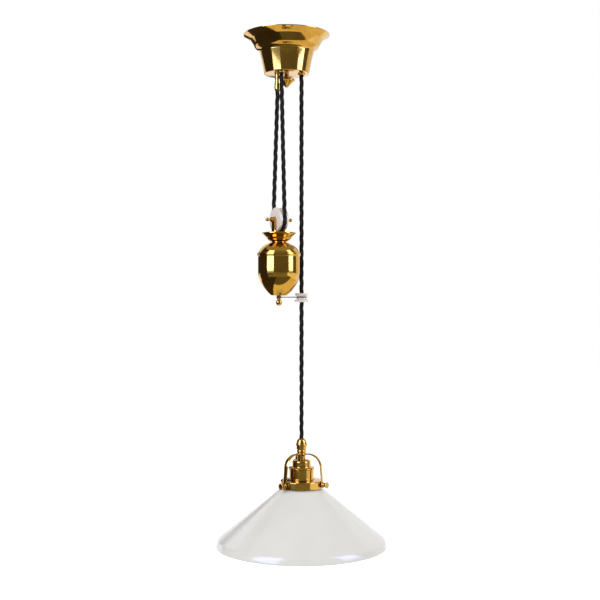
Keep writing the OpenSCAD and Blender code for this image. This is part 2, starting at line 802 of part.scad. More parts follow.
module earth_screw() {
    head_h = 2;
    color(BRASS) translate([earth_x, earth_y, -strap_t - head_h]) difference() {
        union() {
            cylinder(h = head_h, d = block_screw_d + 2);
            cylinder(h = head_h + strap_t * 0.75, d = block_screw_d - 2 * stud_gap);
        }
        translate([-block_screw_d, -0.4, -1]) cube([2 * block_screw_d, 0.8, 1.8]);
    }
}

// ---- Cord ----

// Where the two slanting strands leave their fittings, and the angle on the weight's pulley,
// from the back through the top, at which each one meets it
anchor_exit = [anchor[0], anchor[1], grip_tip_z + 2];
riser_exit = [riser[0], riser[1], canopy_floor_z];

function tangent_angle(exit, side) =
    let (y = exit[1] - weight_y, z = exit[2] - pulley_z)
        atan2(z, y) + side * acos(loop_r / norm([y, z]));

anchor_angle = tangent_angle(anchor_exit, -1);
riser_angle = tangent_angle(riser_exit, 1);

function on_weight_pulley(a) = [weight_x, weight_y + loop_r * cos(a), pulley_z + loop_r * sin(a)];

module strand(exit, end) {
    d = (end - exit) / norm(end - exit);
    color(CORD) stick(exit, end - cord_joint * d, cord_r);
}

module cord_tail() {
    into = [-block_l / 3 + 2, block_y - block_w / 2] - anchor;
    reach = norm(into);
    corner_z = -cord_entry_drop - cord_entry_bend;
    color(CORD) translate([anchor[0], anchor[1], 0]) rotate(atan2(into[1], into[0])) {
        translate([0, 0, anchor_exit[2] + cord_joint])
            cylinder(h = corner_z - anchor_exit[2] - cord_joint, r = cord_r);
        translate([cord_entry_bend, 0, corner_z]) rotate([90, 0, 0]) cord_arc(cord_entry_bend, 90, 180);
        translate([cord_entry_bend, 0, -cord_entry_drop]) rotate([0, 90, 0])
            cylinder(h = reach - cord_entry_bend - cord_r, r = cord_r);
    }
}

module cord_anchor_strand() {
    strand(anchor_exit, on_weight_pulley(anchor_angle));
}

module cord_weight_loop() {
    color(CORD) translate([weight_x, weight_y, pulley_z]) facing_x()
        cord_arc(loop_r, riser_angle, anchor_angle + 360);
}

module cord_riser_strand() {
    strand(riser_exit, on_weight_pulley(riser_angle));
}

module cord_ceiling_loop() {
    leg = ceiling_axle_z - canopy_floor_z - cord_joint;
    color(CORD) {
        translate([0, outlet_y, ceiling_axle_z]) facing_front() cord_arc(loop_r, 0, 180);
        for (outlet = [riser, drop]) translate([outlet[0], outlet[1], ceiling_axle_z - leg])
            cylinder(h = leg, r = cord_r);
    }
}

cord_end_z = cap_z - cap_h / 2;

module cord_drop_strand() {
    color(CORD) at_lamp(cord_end_z) cylinder(h = canopy_floor_z - cord_end_z, r = cord_r);
}

// ---- Counterweight ----

module weight_pulley() {
    color(PORCELAIN) at_weight(pulley_z) facing_x() pulley();
}

module weight_axle() {
    color(BRASS) at_weight(pulley_z) for (side = [0, 180]) rotate(side) {
        facing_x() cylinder(h = collar_end, d = axle_d);
        translate([collar_end, 0, 0]) facing_x()
            cylinder(h = axle_ball_out, r1 = axle_d / 2, r2 = axle_neck_r);
        translate([collar_end + axle_ball_out, 0, 0]) sphere(r = axle_ball_r);
    }
}

module axle_collars() {
    color(BRASS) at_weight(pulley_z) for (x = [fork_outside, -collar_end])
        translate([x, 0, 0]) facing_x() tube(axle_collar_r, axle_d / 2 + rod_gap, axle_collar_l);
}

// Half of the fork's bent strip as seen along the cord's plane, from the top of an arm to the middle
function fork_side(x, z, r) = concat([[x, fork_top_z]], bend([x, z + r], [x, z], [x - r, z], 4));

module weight_fork() {
    outer = fork_side(fork_outside, fork_base_z, fork_bend_r + fork_t);
    inner = fork_side(fork_inside, fork_base_z + fork_t, fork_bend_r);
    color(BRASS) at_weight() difference() {
        intersection() {
            translate([0, fork_w / 2, 0]) facing_front() linear_extrude(fork_w) polygon(
                concat(outer, backwards(mirrored(outer)), mirrored(inner), backwards(inner)));
            translate([-fork_outside, 0, pulley_z]) facing_x() linear_extrude(2 * fork_outside) {
                circle(d = fork_w);
                translate([-fork_w / 2, fork_base_z - pulley_z])
                    square([fork_w, pulley_z - fork_base_z]);
            }
        }
        translate([-fork_outside - 1, 0, pulley_z]) facing_x()
            cylinder(h = 2 * fork_outside + 2, d = axle_d + 2 * rod_gap);
        translate([0, 0, fork_base_z - 1]) cylinder(h = fork_t + 2, r = rod_hole_r);
    }
}

module fork_spacer() {
    color(BRASS) at_weight(dish_floor_z + weight_wall) tube(spacer_r, rod_hole_r, spacer_h);
}

module fork_nut() {
    color(BRASS) at_weight(fork_base_z + fork_t) difference() {
        cylinder(h = fork_nut_h, d = fork_nut_d, $fn = 6);
        translate([0, 0, -1]) cylinder(h = fork_nut_h + 2, r = rod_hole_r);
    }
}

module weight_dish() {
    soft = 0.5;
    edge_z = dish_z - dish_edge_h;
    crease_z = edge_z - (dish_r - dish_crease_r) * 0.92;
    foot_z = dish_floor_z + 1;
    outer = concat(
        [[dish_r - soft, dish_z], [dish_r, dish_z - soft], [dish_r, edge_z + soft],
         [dish_r - soft, edge_z], [dish_crease_r, crease_z]],
        bend([dish_crease_r - 0.7, crease_z - 0.2], [(dish_crease_r + dish_foot_r) / 2 + 1, foot_z + 1.6],
             [dish_foot_r, foot_z], 6),
        bend([dish_foot_r - 0.6, foot_z - 0.5], [dish_foot_r - 1, dish_floor_z],
             [dish_floor_r + 1, dish_floor_z], 3),
        [[0, dish_floor_z]]
    );
    inside_r = dish_floor_r - weight_wall;
    inside_z = dish_floor_z + weight_wall;
    inner = concat(
        [[dish_r - soft - weight_wall, dish_z], [dish_r - soft - weight_wall, edge_z]],
        bend([dish_crease_r - weight_wall, crease_z + weight_wall], [inside_r + 2.6, inside_z + 1.4],
             [inside_r, inside_z], 6),
        [[0, inside_z]]
    );
    color(BRASS) at_weight() difference() {
        turned(concat(outer, backwards(inner)));
        translate([0, 0, dish_floor_z - 1]) cylinder(h = weight_wall + 2, r = rod_hole_r);
    }
}

module neck_collar() {
    color(BRASS) at_weight(lid_z) tube(collar_r, rod_hole_r, collar_h);
}

function lid_outline() = concat(
    [[0, lid_z], [lid_top_r, lid_z]],
    bend([lid_top_r + 1, lid_z - 0.2], [shell_r - 4.4, lid_z - lid_h * 0.3], [shell_r - 0.8, band_z])
);

module weight_lid() {
    color(BRASS) at_weight() difference() {
        turned(wall(lid_outline(), weight_wall));
        translate([0, 0, lid_z - weight_wall - 1]) cylinder(h = weight_wall + 2, r = rod_hole_r);
    }
}

module weight_band() {
    inner_r = shell_r + wire_gap;
    step = 0.9;
    color(BRASS) at_weight(band_z - band_h / 2) turned(concat(
        [[inner_r, band_h / 2 - 0.1], [inner_r + step / 2, band_h / 2 - 0.1],
         [inner_r + step, band_h / 2 - step]],
        bend([band_r - 0.4, band_h / 4], [band_r + 0.4, 0], [band_r - 0.4, -band_h / 4], 6),
        [[inner_r + step, -band_h / 2 + step], [inner_r + step / 2, -band_h / 2],
         [inner_r, -band_h / 2]]
    ));
}

function bowl_outline() = concat(
    sweep([shell_r, bowl_z], [shell_r, bowl_z - shell_bowl_h * 0.37],
          [shell_r - 8.4, bowl_z - shell_bowl_h * 0.73], [shell_flat_r + 4.2, shell_floor_z + 1], 10),
    [[shell_flat_r + 1.4, shell_floor_z + 0.2], [shell_flat_r, shell_floor_z], [0, shell_floor_z]]
);

module weight_shell() {
    outline = concat([[shell_r, shell_top_z], [shell_r, bowl_z + 2]], bowl_outline());
    color(BRASS) at_weight() difference() {
        turned(wall(outline, weight_wall));
        translate([0, 0, shell_floor_z - 1]) cylinder(h = weight_wall + 2, r = rod_hole_r);
    }
}

module lead_ballast() {
    inside = weight_wall + ballast_gap;
    top_z = lid_z - ballast_space;
    bowl = inset(concat([[shell_r, top_z], [shell_r, bowl_z + 2]], bowl_outline()), inside);
    dome = inset(lid_outline(), inside);
    color(LEAD) at_weight() difference() {
        intersection() {
            turned(concat([[0, top_z]], bowl));
            turned(concat(dome, [[shell_r - inside, band_z - band_proud],
                                 [shell_r - inside, shell_floor_z], [0, shell_floor_z]]));
        }
        translate([0, 0, shell_floor_z]) cylinder(h = -shell_floor_z, r = rod_hole_r);
    }
}

rod_foot_z = finial_bead_z - 0.8;

module tie_rod() {
    top_z = fork_base_z + fork_t + fork_nut_h - 0.2;
    color(ZINC) at_weight(rod_foot_z) cylinder(h = top_z - rod_foot_z, d = rod_d);
}

module weight_finial() {
    ball_z = shell_floor_z - finial_ball_drop;
    washer_z = shell_floor_z - finial_washer_h;
    color(BRASS) at_weight() difference() {
        union() {
            turned([[0, shell_floor_z], [finial_washer_r - 0.3, shell_floor_z],
                    [finial_washer_r, shell_floor_z - 0.3], [finial_washer_r, washer_z + 0.3],
                    [finial_washer_r - 0.3, washer_z], [finial_stem_r, washer_z],
                    [finial_stem_r, finial_bead_z], [finial_bead_r - 0.4, finial_bead_z],
                    [finial_bead_r, finial_bead_z - 0.5], [finial_bead_r, finial_bead_z - 1.3],
                    [finial_bead_r - 0.8, finial_bead_z - 2], [finial_stem_r - 0.6, finial_bead_z - 2.6],
                    [finial_stem_r - 0.9, ball_z], [0, ball_z]]);
            translate([0, 0, ball_z]) sphere(r = finial_ball_r);
        }
        translate([0, 0, rod_foot_z - 0.2]) cylinder(h = -rod_foot_z, d = rod_d + 2 * rod_gap);
    }
}

module guide_wire() {
    eye_r = finial_stem_r + wire_gap + wire_d / 2;
    ring_r = spool_groove_r + wire_gap + wire_d / 2;
    way = [lamp_at[0] - weight_at[0], lamp_at[1] - weight_at[1], 0];
    d = way / norm(way);
    color(BRASS) {
        at_weight(wire_z) rotate_extrude() translate([eye_r, 0]) circle(d = wire_d, $fn = SMALL_FN);
        at_lamp(wire_z) rotate_extrude() translate([ring_r, 0]) circle(d = wire_d, $fn = SMALL_FN);
        stick([weight_at[0], weight_at[1], wire_z] + eye_r * d,
              [lamp_at[0], lamp_at[1], wire_z] - ring_r * d, wire_d / 2);
    }
}

module guide_spool() {
    half = spool_h / 2;
    soft = 1.1;
    groove = spool_groove_w / 2;
    color(PORCELAIN) at_lamp(spool_z) turned([
        [bush_bore_r, half - 0.8], [bush_bore_r + 0.8, half], [spool_r - soft * 1.6, half],
        [spool_r - soft * 0.4, half - soft * 0.5], [spool_r, half - soft * 1.4],
        [spool_r - soft * 0.6, groove + 0.5], [spool_groove_r + 0.5, groove],
        [spool_groove_r, groove - 0.6], [spool_groove_r, -groove + 0.6],
        [spool_groove_r + 0.5, -groove], [spool_r - soft * 0.6, -groove - 0.5],
        [spool_r, -half + soft * 1.4], [spool_r - soft * 0.4, -half + soft * 0.5],
        [spool_r - soft * 1.6, -half], [bush_bore_r + 0.8, -half], [bush_bore_r, -half + 0.8]]);
}

// ---- Lamp ----

module lamp_grip_cap() {
    bead_z = lamp_z - lamp_cap_h;
    foot_z = bead_z - lamp_bead_h;
    color(BRASS) at_lamp() turned(concat(
        [[grip_bore_r, foot_z], [grip_bore_r, lamp_z]],
        bend([grip_bore_r + 0.7, lamp_z], [lamp_cap_r - 0.6, lamp_z - 2.2], [lamp_cap_r, bead_z + 0.4]),
        bend([lamp_bead_r - 0.3, bead_z], [lamp_bead_r + 0.3, bead_z - lamp_bead_h / 2],
             [lamp_bead_r - 0.3, foot_z + 0.3], 4),
        [[lamp_cap_r, foot_z]]
    ));
}

module lamp_grip_body() {
    soft = 0.6;
    groove_z = grip_foot_z + grip_groove_h;
    bead_foot_z = hub_z + grip_neck_h;
    color(BRASS) at_lamp() difference() {
        turned(concat(
            [[grip_bore_r, grip_z], [grip_body_r, grip_z], [grip_body_r, groove_z + soft],
             [grip_body_r - soft, groove_z], [grip_groove_r, groove_z], [grip_groove_r, grip_foot_z]],
            bend([grip_foot_r - soft, grip_foot_z], [grip_foot_r + soft, grip_foot_z - grip_foot_h / 2],
                 [grip_foot_r - soft, bead_foot_z], 5),
            [[grip_groove_r, bead_foot_z], [grip_groove_r, hub_z], [grip_bore_r, hub_z]]
        ));
        translate([0, 0, hub_z - 1]) cylinder(h = nipple_thread_l + 1, r = nipple_r + nipple_gap);
    }
}

module lamp_nipple() {
    soft = 0.6;
    top_z = hub_z + nipple_thread_l - cord_joint;
    foot_z = cap_z - nipple_thread_l;
    color(BRASS) at_lamp() turned([
        [grip_bore_r, top_z], [nipple_r, top_z], [nipple_r, nipple_collar_z],
        [nipple_collar_r - soft, nipple_collar_z], [nipple_collar_r, nipple_collar_z - soft],
        [nipple_collar_r, cap_z + soft], [nipple_collar_r + soft, cap_z],
        [nipple_r, cap_z], [nipple_r, foot_z], [grip_bore_r, foot_z]]);
}

// The half-round section of an arm, with its crown at the origin towards +X
module arm_section(ease = 0) {
    half_w = arm_w / 2 - ease;
    crown = arm_t - arm_edge_t;
    back = arm_t - ease;
    polygon(concat(bend([-crown, -half_w], [crown - 2 * ease, 0], [-crown, half_w], 6),
                   [[-back, half_w], [-back, -half_w]]));
}

// The two straights are drawn a little leaner than the bend, and run into its ends
module arm() {
    lap = 1.2;
    translate([0, 0, hub_z]) facing_x() linear_extrude(bend_x + lap) rotate(90) arm_section(arm_ease);
    translate([bend_x, 0, bend_z]) facing_front()
        rotate_extrude(angle = 90 - arm_lean, start = arm_lean) translate([arm_bend_r, 0]) arm_section();
    translate([arm_foot_r, 0, screw_z]) rotate([0, -arm_lean, 0])
        linear_extrude(leg_l + lap) arm_section(arm_ease);
    translate([arm_foot_r - arm_t, 0, screw_z]) facing_x() cylinder(h = arm_t, r = arm_eye_r);
}

module shade_arch() {
    soft = 0.7;
    hub_foot_z = hub_z - hub_h;
    color(BRASS) at_lamp() difference() {
        union() {
            turned(concat(
                [[0, hub_z]],
                bend([hub_r - soft, hub_z], [hub_r + soft, hub_z - hub_h / 2], [hub_r - soft, hub_foot_z], 5),
                [[0, hub_foot_z]]
            ));
            for (a = [LEFT, RIGHT, BACK]) rotate(a) arm();
        }
        translate([0, 0, hub_foot_z - 1]) cylinder(h = hub_h + 2, r = nipple_r + nipple_gap);
        for (a = [LEFT, RIGHT, BACK]) rotate(a) translate([fitter_r, 0, screw_z]) facing_x()
            cylinder(h = arm_w, d = screw_d + 2 * screw_gap);
    }
}

module arch_bosses() {
    bore_r = screw_d / 2 + screw_gap;
    soft = 0.9;
    color(BRASS) at_lamp(screw_z) for (a = [LEFT, RIGHT, BACK])
        rotate(a) translate([arm_foot_r, 0, 0]) facing_x() turned([
            [bore_r, 0], [boss_r - soft / 2, 0], [boss_r, soft / 2], [boss_r, boss_l - soft],
            [boss_r - soft / 3, boss_l - soft / 3], [boss_r - soft, boss_l], [bore_r, boss_l]]);
}

module holder_cap() {
    foot_z = holder_ring_z;
    outline = concat(
        [[nipple_r + nipple_gap, cap_z], [nipple_collar_r + 1.8, cap_z]],
        bend([nipple_collar_r + 2.4, cap_z - 0.1], [cap_r - 0.3, cap_z - 0.6], [cap_r, cap_z - 4.4]),
        [[cap_r, foot_z + 1.6]],
        bend([cap_r + 0.2, foot_z + 0.8], [cap_r + 0.6, foot_z], [cap_r + 1.6, foot_z], 3),
        [[skirt_r - 0.2, foot_z]]
    );
    color(BRASS) at_lamp() turned(wall(outline, holder_wall));
}

module holder_ring() {
    soft = 0.8;
    z = holder_ring_z - holder_wall;
    foot = holder_ring_z - holder_ring_h;
    color(BRASS) at_lamp() turned([
        [skirt_r - holder_wall, z], [skirt_r, z], [skirt_r, holder_ring_z],
        [holder_ring_r - soft, holder_ring_z], [holder_ring_r, holder_ring_z - soft],
        [holder_ring_r, foot + soft], [holder_ring_r - soft, foot],
        [skirt_r - holder_wall, foot]]);
}

module holder_skirt() {
    foot_r = skirt_r + skirt_foot;
    color(BRASS) at_lamp() turned([
        [skirt_r - holder_wall, skirt_z], [skirt_r, skirt_z], [skirt_r, plate_z + skirt_foot_h + skirt_foot],
        [foot_r, plate_z + skirt_foot_h], [foot_r, plate_z], [skirt_r - holder_wall, plate_z]]);
}

module porcelain_insert() {
    top_z = holder_ring_z - holder_wall - socket_gap;
    bore_r = socket_r + socket_wall + socket_gap;
    seat_z = insert_foot_z + socket_depth + contact_t;
    wire_hole_d = 4;
    soft = 1;
    color(PORCELAIN) at_lamp() difference() {
        turned([[0, top_z], [insert_r - soft, top_z], [insert_r, top_z - soft],
                [insert_r, insert_foot_z + soft], [insert_r - soft, insert_foot_z], [0, insert_foot_z]]);
        translate([0, 0, insert_foot_z - 1]) cylinder(h = seat_z - insert_foot_z + 1, r = bore_r);
        for (side = [-1, 1]) translate([side * insert_r / 2, 0, seat_z - 1])
            cylinder(h = top_z - seat_z + 2, d = wire_hole_d);
    }
}

module thread_shell() {
    shell_h = socket_depth - contact_t - 2 * socket_gap;
    color(BRASS) at_lamp(insert_foot_z + socket_gap) tube(socket_r + socket_wall, socket_r, shell_h);
}

module centre_contact() {
    z = insert_foot_z + socket_depth;
    color(BRASS) at_lamp(z) {
        cylinder(h = contact_t - cord_joint / 2, r = contact_r);
        translate([0, 0, -contact_t]) cylinder(h = contact_t, r1 = contact_r / 2, r2 = contact_r * 0.8);
    }
}

module shade_ring() {
    z = plate_z - gallery_wall - shade_ring_h;
    color(BRASS) at_lamp(z) difference() {
        tube(shade_ring_r, insert_r + socket_gap, shade_ring_h);
        for (a = [0:30:330]) rotate(a) translate([shade_ring_r + 0.5, 0, -1])
            cylinder(h = shade_ring_h + 2, r = 1.3, $fn = 16);
    }
}

module gallery() {
    corner = 1.4;
    outline = concat(
        [[plate_hole_r, plate_z], [shade_ring_r + 0.6, plate_z]],
        [[gallery_r - corner, side_z + 0.4]],
        bend([gallery_r - corner + 0.6, side_z + 0.3], [gallery_r, side_z], [gallery_r, side_z - corner], 3),
        [[gallery_r, gallery_foot_z + 1], [gallery_r, gallery_foot_z]]
    );
    color(BRASS) at_lamp() difference() {
        turned(wall(outline, gallery_wall));
        for (a = [LEFT, RIGHT, BACK]) rotate(a) translate([fitter_r - 2, 0, screw_z]) facing_x()
            cylinder(h = gallery_wall + 4, d = screw_d + 2 * screw_gap);
    }
}

module glass_shade() {
    outer = concat(
        [[glass_neck_r, glass_top_z], [glass_neck_r, glass_bead_z + 0.8],
         [groove_hold_r, glass_bead_z], [groove_hold_r, gallery_foot_z + 0.4]],
        bend([groove_hold_r + 0.6, gallery_foot_z - 0.8], [gallery_r + 0.4, gallery_foot_z - 1.8],
             [shade_shoulder_r, shoulder_z], 4),
        [[shade_turn_r, turn_z]],
        bend([shade_turn_r + 1.6, turn_z - 1.2], [shade_r - 1.6, turn_z - 4],
             [shade_r, turn_z - shade_rim_h + 1], 4)
    );
    last = outer[len(outer) - 1];
    neck_in = groove_hold_r - glass_t;
    inner = concat(
        [[neck_in, glass_top_z], [neck_in, gallery_foot_z + 0.2]],
        bend([neck_in + 0.2, gallery_foot_z - 1], [neck_in + 1.2, shoulder_z + 0.4],
             [shade_shoulder_r - glass_t * 1.2, shoulder_z - glass_t * 0.75], 4),
        [[shade_turn_r - glass_t * 1.1, turn_z - glass_t * 0.75]],
        bend([shade_turn_r - 0.4, turn_z - glass_t * 1.2], [shade_r - glass_t - 1.2, turn_z - 6],
             [last[0] - glass_t, last[1]], 4)
    );
    rim_z = turn_z - shade_rim_h;
    color(GLASS) at_lamp() turned(concat(
        outer, [[shade_r - 0.6, rim_z], [shade_r - glass_t + 0.6, rim_z]], backwards(inner)));
}

// A thumb screw along +X, with its tip in the glass's groove
module thumb_screw() {
    tip = groove_hold_r + screw_gap + 0.15;
    head = boss_end + screw_collar_l + screw_gap;
    facing_x() {
        translate([0, 0, tip]) cylinder(h = head - tip, d = screw_d);
        translate([0, 0, head - screw_collar_l]) cylinder(h = screw_collar_l, r1 = boss_r - 0.6, r2 = boss_r);
        translate([0, 0, head]) difference() {
            cylinder(h = screw_head_t, r = screw_head_r);
            for (i = [0:knurls - 1]) rotate(i * 360 / knurls) translate([screw_head_r + 0.2, 0, -1])
                cylinder(h = screw_head_t + 2, r = 0.6, $fn = 16);
            translate([0, 0, screw_head_t - 0.6]) cylinder(h = 1, r = screw_head_r - 1.8);
        }
    }
}

module gallery_screw_left() {
    color(BRASS) at_lamp(screw_z) rotate(LEFT) thumb_screw();
}

module gallery_screw_right() {
    color(BRASS) at_lamp(screw_z) rotate(RIGHT) thumb_screw();
}

module gallery_screw_back() {
    color(BRASS) at_lamp(screw_z) rotate(BACK) thumb_screw();
}

ceiling_strap();
canopy_stud();
stud_locknut();
canopy();
canopy_knob();
pulley_bracket();
bracket_rivets();
ceiling_axle();
ceiling_axle_clips();
ceiling_pulley();
anchor_grip_body();
anchor_grip_cap();
anchor_locknut();
riser_bush();
drop_bush();
bush_locknuts();
terminal_block();
terminal_screws();
earth_screw();
cord_tail();
cord_anchor_strand();
cord_weight_loop();
cord_riser_strand();
cord_ceiling_loop();
cord_drop_strand();
weight_pulley();
weight_axle();
axle_collars();
weight_fork();
fork_spacer();
fork_nut();
weight_dish();
neck_collar();
weight_lid();
weight_band();
weight_shell();
lead_ballast();
tie_rod();
weight_finial();
guide_wire();
guide_spool();
lamp_grip_cap();
lamp_grip_body();
lamp_nipple();
shade_arch();
arch_bosses();
holder_cap();
holder_ring();
holder_skirt();
porcelain_insert();
thread_shell();
centre_contact();
shade_ring();
gallery();
glass_shade();
gallery_screw_left();
gallery_screw_right();
gallery_screw_back();
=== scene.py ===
import math

import bmesh
import bpy
from mathutils import Euler, Matrix, Vector


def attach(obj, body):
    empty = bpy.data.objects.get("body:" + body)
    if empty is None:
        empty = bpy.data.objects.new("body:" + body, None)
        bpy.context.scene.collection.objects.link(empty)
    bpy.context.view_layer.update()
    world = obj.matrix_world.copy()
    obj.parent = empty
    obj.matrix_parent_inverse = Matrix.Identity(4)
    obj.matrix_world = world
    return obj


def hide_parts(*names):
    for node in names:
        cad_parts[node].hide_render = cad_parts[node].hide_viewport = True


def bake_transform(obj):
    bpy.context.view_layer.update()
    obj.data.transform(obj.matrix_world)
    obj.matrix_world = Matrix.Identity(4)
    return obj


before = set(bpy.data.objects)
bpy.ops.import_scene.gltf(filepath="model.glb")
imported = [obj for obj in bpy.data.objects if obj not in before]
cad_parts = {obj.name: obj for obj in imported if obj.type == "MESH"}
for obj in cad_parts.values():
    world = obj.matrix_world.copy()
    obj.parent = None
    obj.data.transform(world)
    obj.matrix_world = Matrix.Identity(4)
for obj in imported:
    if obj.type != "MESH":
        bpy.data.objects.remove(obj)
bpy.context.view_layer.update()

MM = 0.001

# Axes of the turned pieces, in mm from the rose's axis
ROSE = (0.0, 0.0)
ANCHOR = (-16.9, -3.3)
RISER = (-16.9, -14.3)
DROP = (16.9, -14.3)
WEIGHT = (-17.72, -8.8)
LAMP = DROP

# Heights in mm from the ceiling, negative downwards
CANOPY_FLOOR = -57.8
GRIP_TIP = -84.4
PULLEY = -273.0
CEILING_AXLE = -33.0
DISH = -291.4
DISH_FLOOR = -304.8
LID = -306.2
BAND = -320.5
BOWL = -349.0
SHELL_FLOOR = -383.6
WIRE = -385.5
SPOOL = -386.2
LAMP_TOP = -592.4
GRIP = -602.6
HUB = -613.8
CAP = -622.7
HOLDER_RING = -634.3
PLATE = -652.3
SCREWS = -659.1
INSERT_FOOT = -664.3
GALLERY_FOOT = -664.2
SHOULDER = -669.6
TURN = -737.7
RIM = -749.6

# Directions of the shade carrier's arms as seen from above, in degrees
ARMS = {"left": 191, "right": 311, "back": 71}

# Radius at which the middle of the cord runs round both pulleys, in mm
PULLEY_PATH = 16.9


# ---- Camera ----

CAMERA_PLACE = (-0.774, -1.3798, -0.3896)
CAMERA_TURN = math.radians(-30)
CAMERA_LENS = 64.56


def set_camera():
    """A level camera that looks 30 degrees off the frame's +Y axis."""
    camera = bpy.data.cameras.new("camera")
    camera.lens = CAMERA_LENS
    camera.sensor_width = 36
    camera.clip_end = 50
    holder = bpy.data.objects.new("camera", camera)
    holder.location = CAMERA_PLACE
    holder.rotation_euler = Euler((math.radians(90), 0, CAMERA_TURN))
    bpy.context.collection.objects.link(holder)
    bpy.context.scene.camera = holder
    bpy.context.scene.view_settings.view_transform = "Standard"


set_camera()


# ---- Node helpers ----

def linear(code):
    """The linear colour of an sRGB hex value."""
    parts = [int(code[i:i + 2], 16) / 255 for i in (1, 3, 5)]
    return tuple(p / 12.92 if p <= 0.04045 else ((p + 0.055) / 1.055) ** 2.4 for p in parts) + (1.0,)


def plug(tree, node, sockets):
    """Gives each named socket a constant or another node's output."""
    for key, value in sockets.items():
        if isinstance(value, bpy.types.NodeSocket):
            tree.links.new(value, node.inputs[key])
        else:
            node.inputs[key].default_value = value


def add(tree, kind, sockets=None, **settings):
    """Adds a node with its settings and sockets."""
    new = tree.nodes.new("ShaderNode" + kind)
    for key, value in settings.items():
        setattr(new, key, value)
    plug(tree, new, sockets or {})
    return new


def ramp(tree, source, *stops):
    """A colour ramp through (place, hex) stops."""
    new = add(tree, "ValToRGB", {"Fac": source})
    marks = new.color_ramp.elements
    while len(marks) < len(stops):
        marks.new(0.5)
    for mark, (place, code) in zip(marks, stops):
        mark.position = place
        mark.color = linear(code)
    return new.outputs["Color"]


def span(tree, source, low, high):
    """A value from 0 to 1 stretched to low to high."""
    return add(tree, "MapRange", {"Value": source, "To Min": low, "To Max": high}).outputs["Result"]


def new_material(name):
    material = bpy.data.materials.new(name)
    material.use_nodes = True
    tree = material.node_tree
    tree.nodes.clear()
    shader = add(tree, "BsdfPrincipled")
    add(tree, "OutputMaterial", {"Surface": shader.outputs["BSDF"]})
    return material, tree, shader


def per_mm(size):
    """The scale of a texture on metres whose features are this many mm apart."""
    return 1000 / size


def noise(tree, place, size, detail, **more):
    """Noise with features this many mm apart."""
    sockets = {"Vector": place, "Scale": per_mm(size), "Detail": detail, **more}
    return add(tree, "TexNoise", sockets).outputs["Fac"]


def cells(tree, place, size):
    """Distance to the nearest of points this many mm apart."""
    return add(tree, "TexVoronoi", {"Vector": place, "Scale": per_mm(size)}).outputs["Distance"]


def mix(tree, share, first, second):
    return add(tree, "MixRGB", {"Fac": share, "Color1": first, "Color2": second}).outputs["Color"]


def stretch(tree, source, low, high):
    """A value from low to high brought to 0 to 1."""
    return add(tree, "MapRange", {"Value": source, "From Min": low, "From Max": high}).outputs["Result"]


def maths(tree, operation, *values, **settings):
    """One step of arithmetic on constants or other nodes' outputs."""
    return add(tree, "Math", dict(enumerate(values)), operation=operation, **settings).outputs["Value"]


def relief(tree, strength, depth, height):
    """A bump this many mm deep."""
    sockets = {"Strength": strength, "Distance": depth * MM, "Height": height}
    return add(tree, "Bump", sockets).outputs["Normal"]


# ---- Materials ----

def aged_brass(name, centre, light="#d2a450", dark="#b0843f", rough=0.08):
    """Spun brass, polished and then left to tarnish. The lathe leaves fine rings round the axis,
    and the tarnish makes faint brown clouds that are a little duller than the bright metal."""
    material, tree, shader = new_material(name)
    place = add(tree, "TexCoord").outputs["Object"]
    to_axis = (-centre[0] * MM, -centre[1] * MM, 0)
    at_axis = add(tree, "Mapping", {"Vector": place, "Location": to_axis}).outputs["Vector"]
    flat = add(tree, "VectorMath", {0: at_axis, 1: (1, 1, 0)}, operation="MULTIPLY")
    radius = add(tree, "VectorMath", {0: flat.outputs["Vector"]}, operation="LENGTH")
    height = add(tree, "SeparateXYZ", {"Vector": at_axis})
    ring = add(tree, "CombineXYZ", {"X": radius.outputs["Value"], "Z": height.outputs["Z"]})
    lines = noise(tree, ring.outputs["Vector"], 0.9, 3.0)
    clouds = noise(tree, place, 26, 4.0, Roughness=0.6)
    mottle = mix(tree, 0.25, clouds, noise(tree, place, 2.2, 3.0))
    plug(tree, shader, {
        "Base Color": ramp(tree, mottle, (0.28, dark), (0.50, light)),
        "Metallic": 1.0,
        "Roughness": span(tree, mottle, rough + 0.07, rough - 0.04),
        "Normal": relief(tree, 0.10, 0.05, lines),
    })
    return material


def porcelain(name):
    """Glazed porcelain, off-white. The glaze is glassy over a body with faint warm clouds and a
    few iron specks."""
    material, tree, shader = new_material(name)
    place = add(tree, "TexCoord").outputs["Object"]
    body = ramp(tree, noise(tree, place, 14, 2.0), (0.3, "#f0e5de"), (0.7, "#f5ece6"))
    off_specks = stretch(tree, cells(tree, place, 6), 0.03, 0.05)
    plug(tree, shader, {
        "Base Color": mix(tree, off_specks, linear("#a48a70"), body),
        "Roughness": 0.18,
        "IOR": 1.5,
        "Coat Weight": 0.5,
        "Coat Roughness": 0.06,
        "Normal": relief(tree, 0.1, 0.1, noise(tree, place, 4, 1.0)),
    })
    return material


def opal_glass(name):
    """Blown opal glass: milky white all through, with a glossy skin that is very slightly wavy
    from the mould."""
    material, tree, shader = new_material(name)
    place = add(tree, "TexCoord").outputs["Object"]
    plug(tree, shader, {
        "Base Color": ramp(tree, noise(tree, place, 60, 2.0), (0.3, "#ecebe8"), (0.7, "#f1f0ee")),
        "Roughness": 0.12,
        "IOR": 1.5,
        "Subsurface Weight": 0.35,
        "Subsurface Radius": (0.010, 0.010, 0.009),
        "Subsurface Scale": 0.6,
        "Normal": relief(tree, 0.15, 0.3, noise(tree, place, 22, 1.0)),
    })
    return material


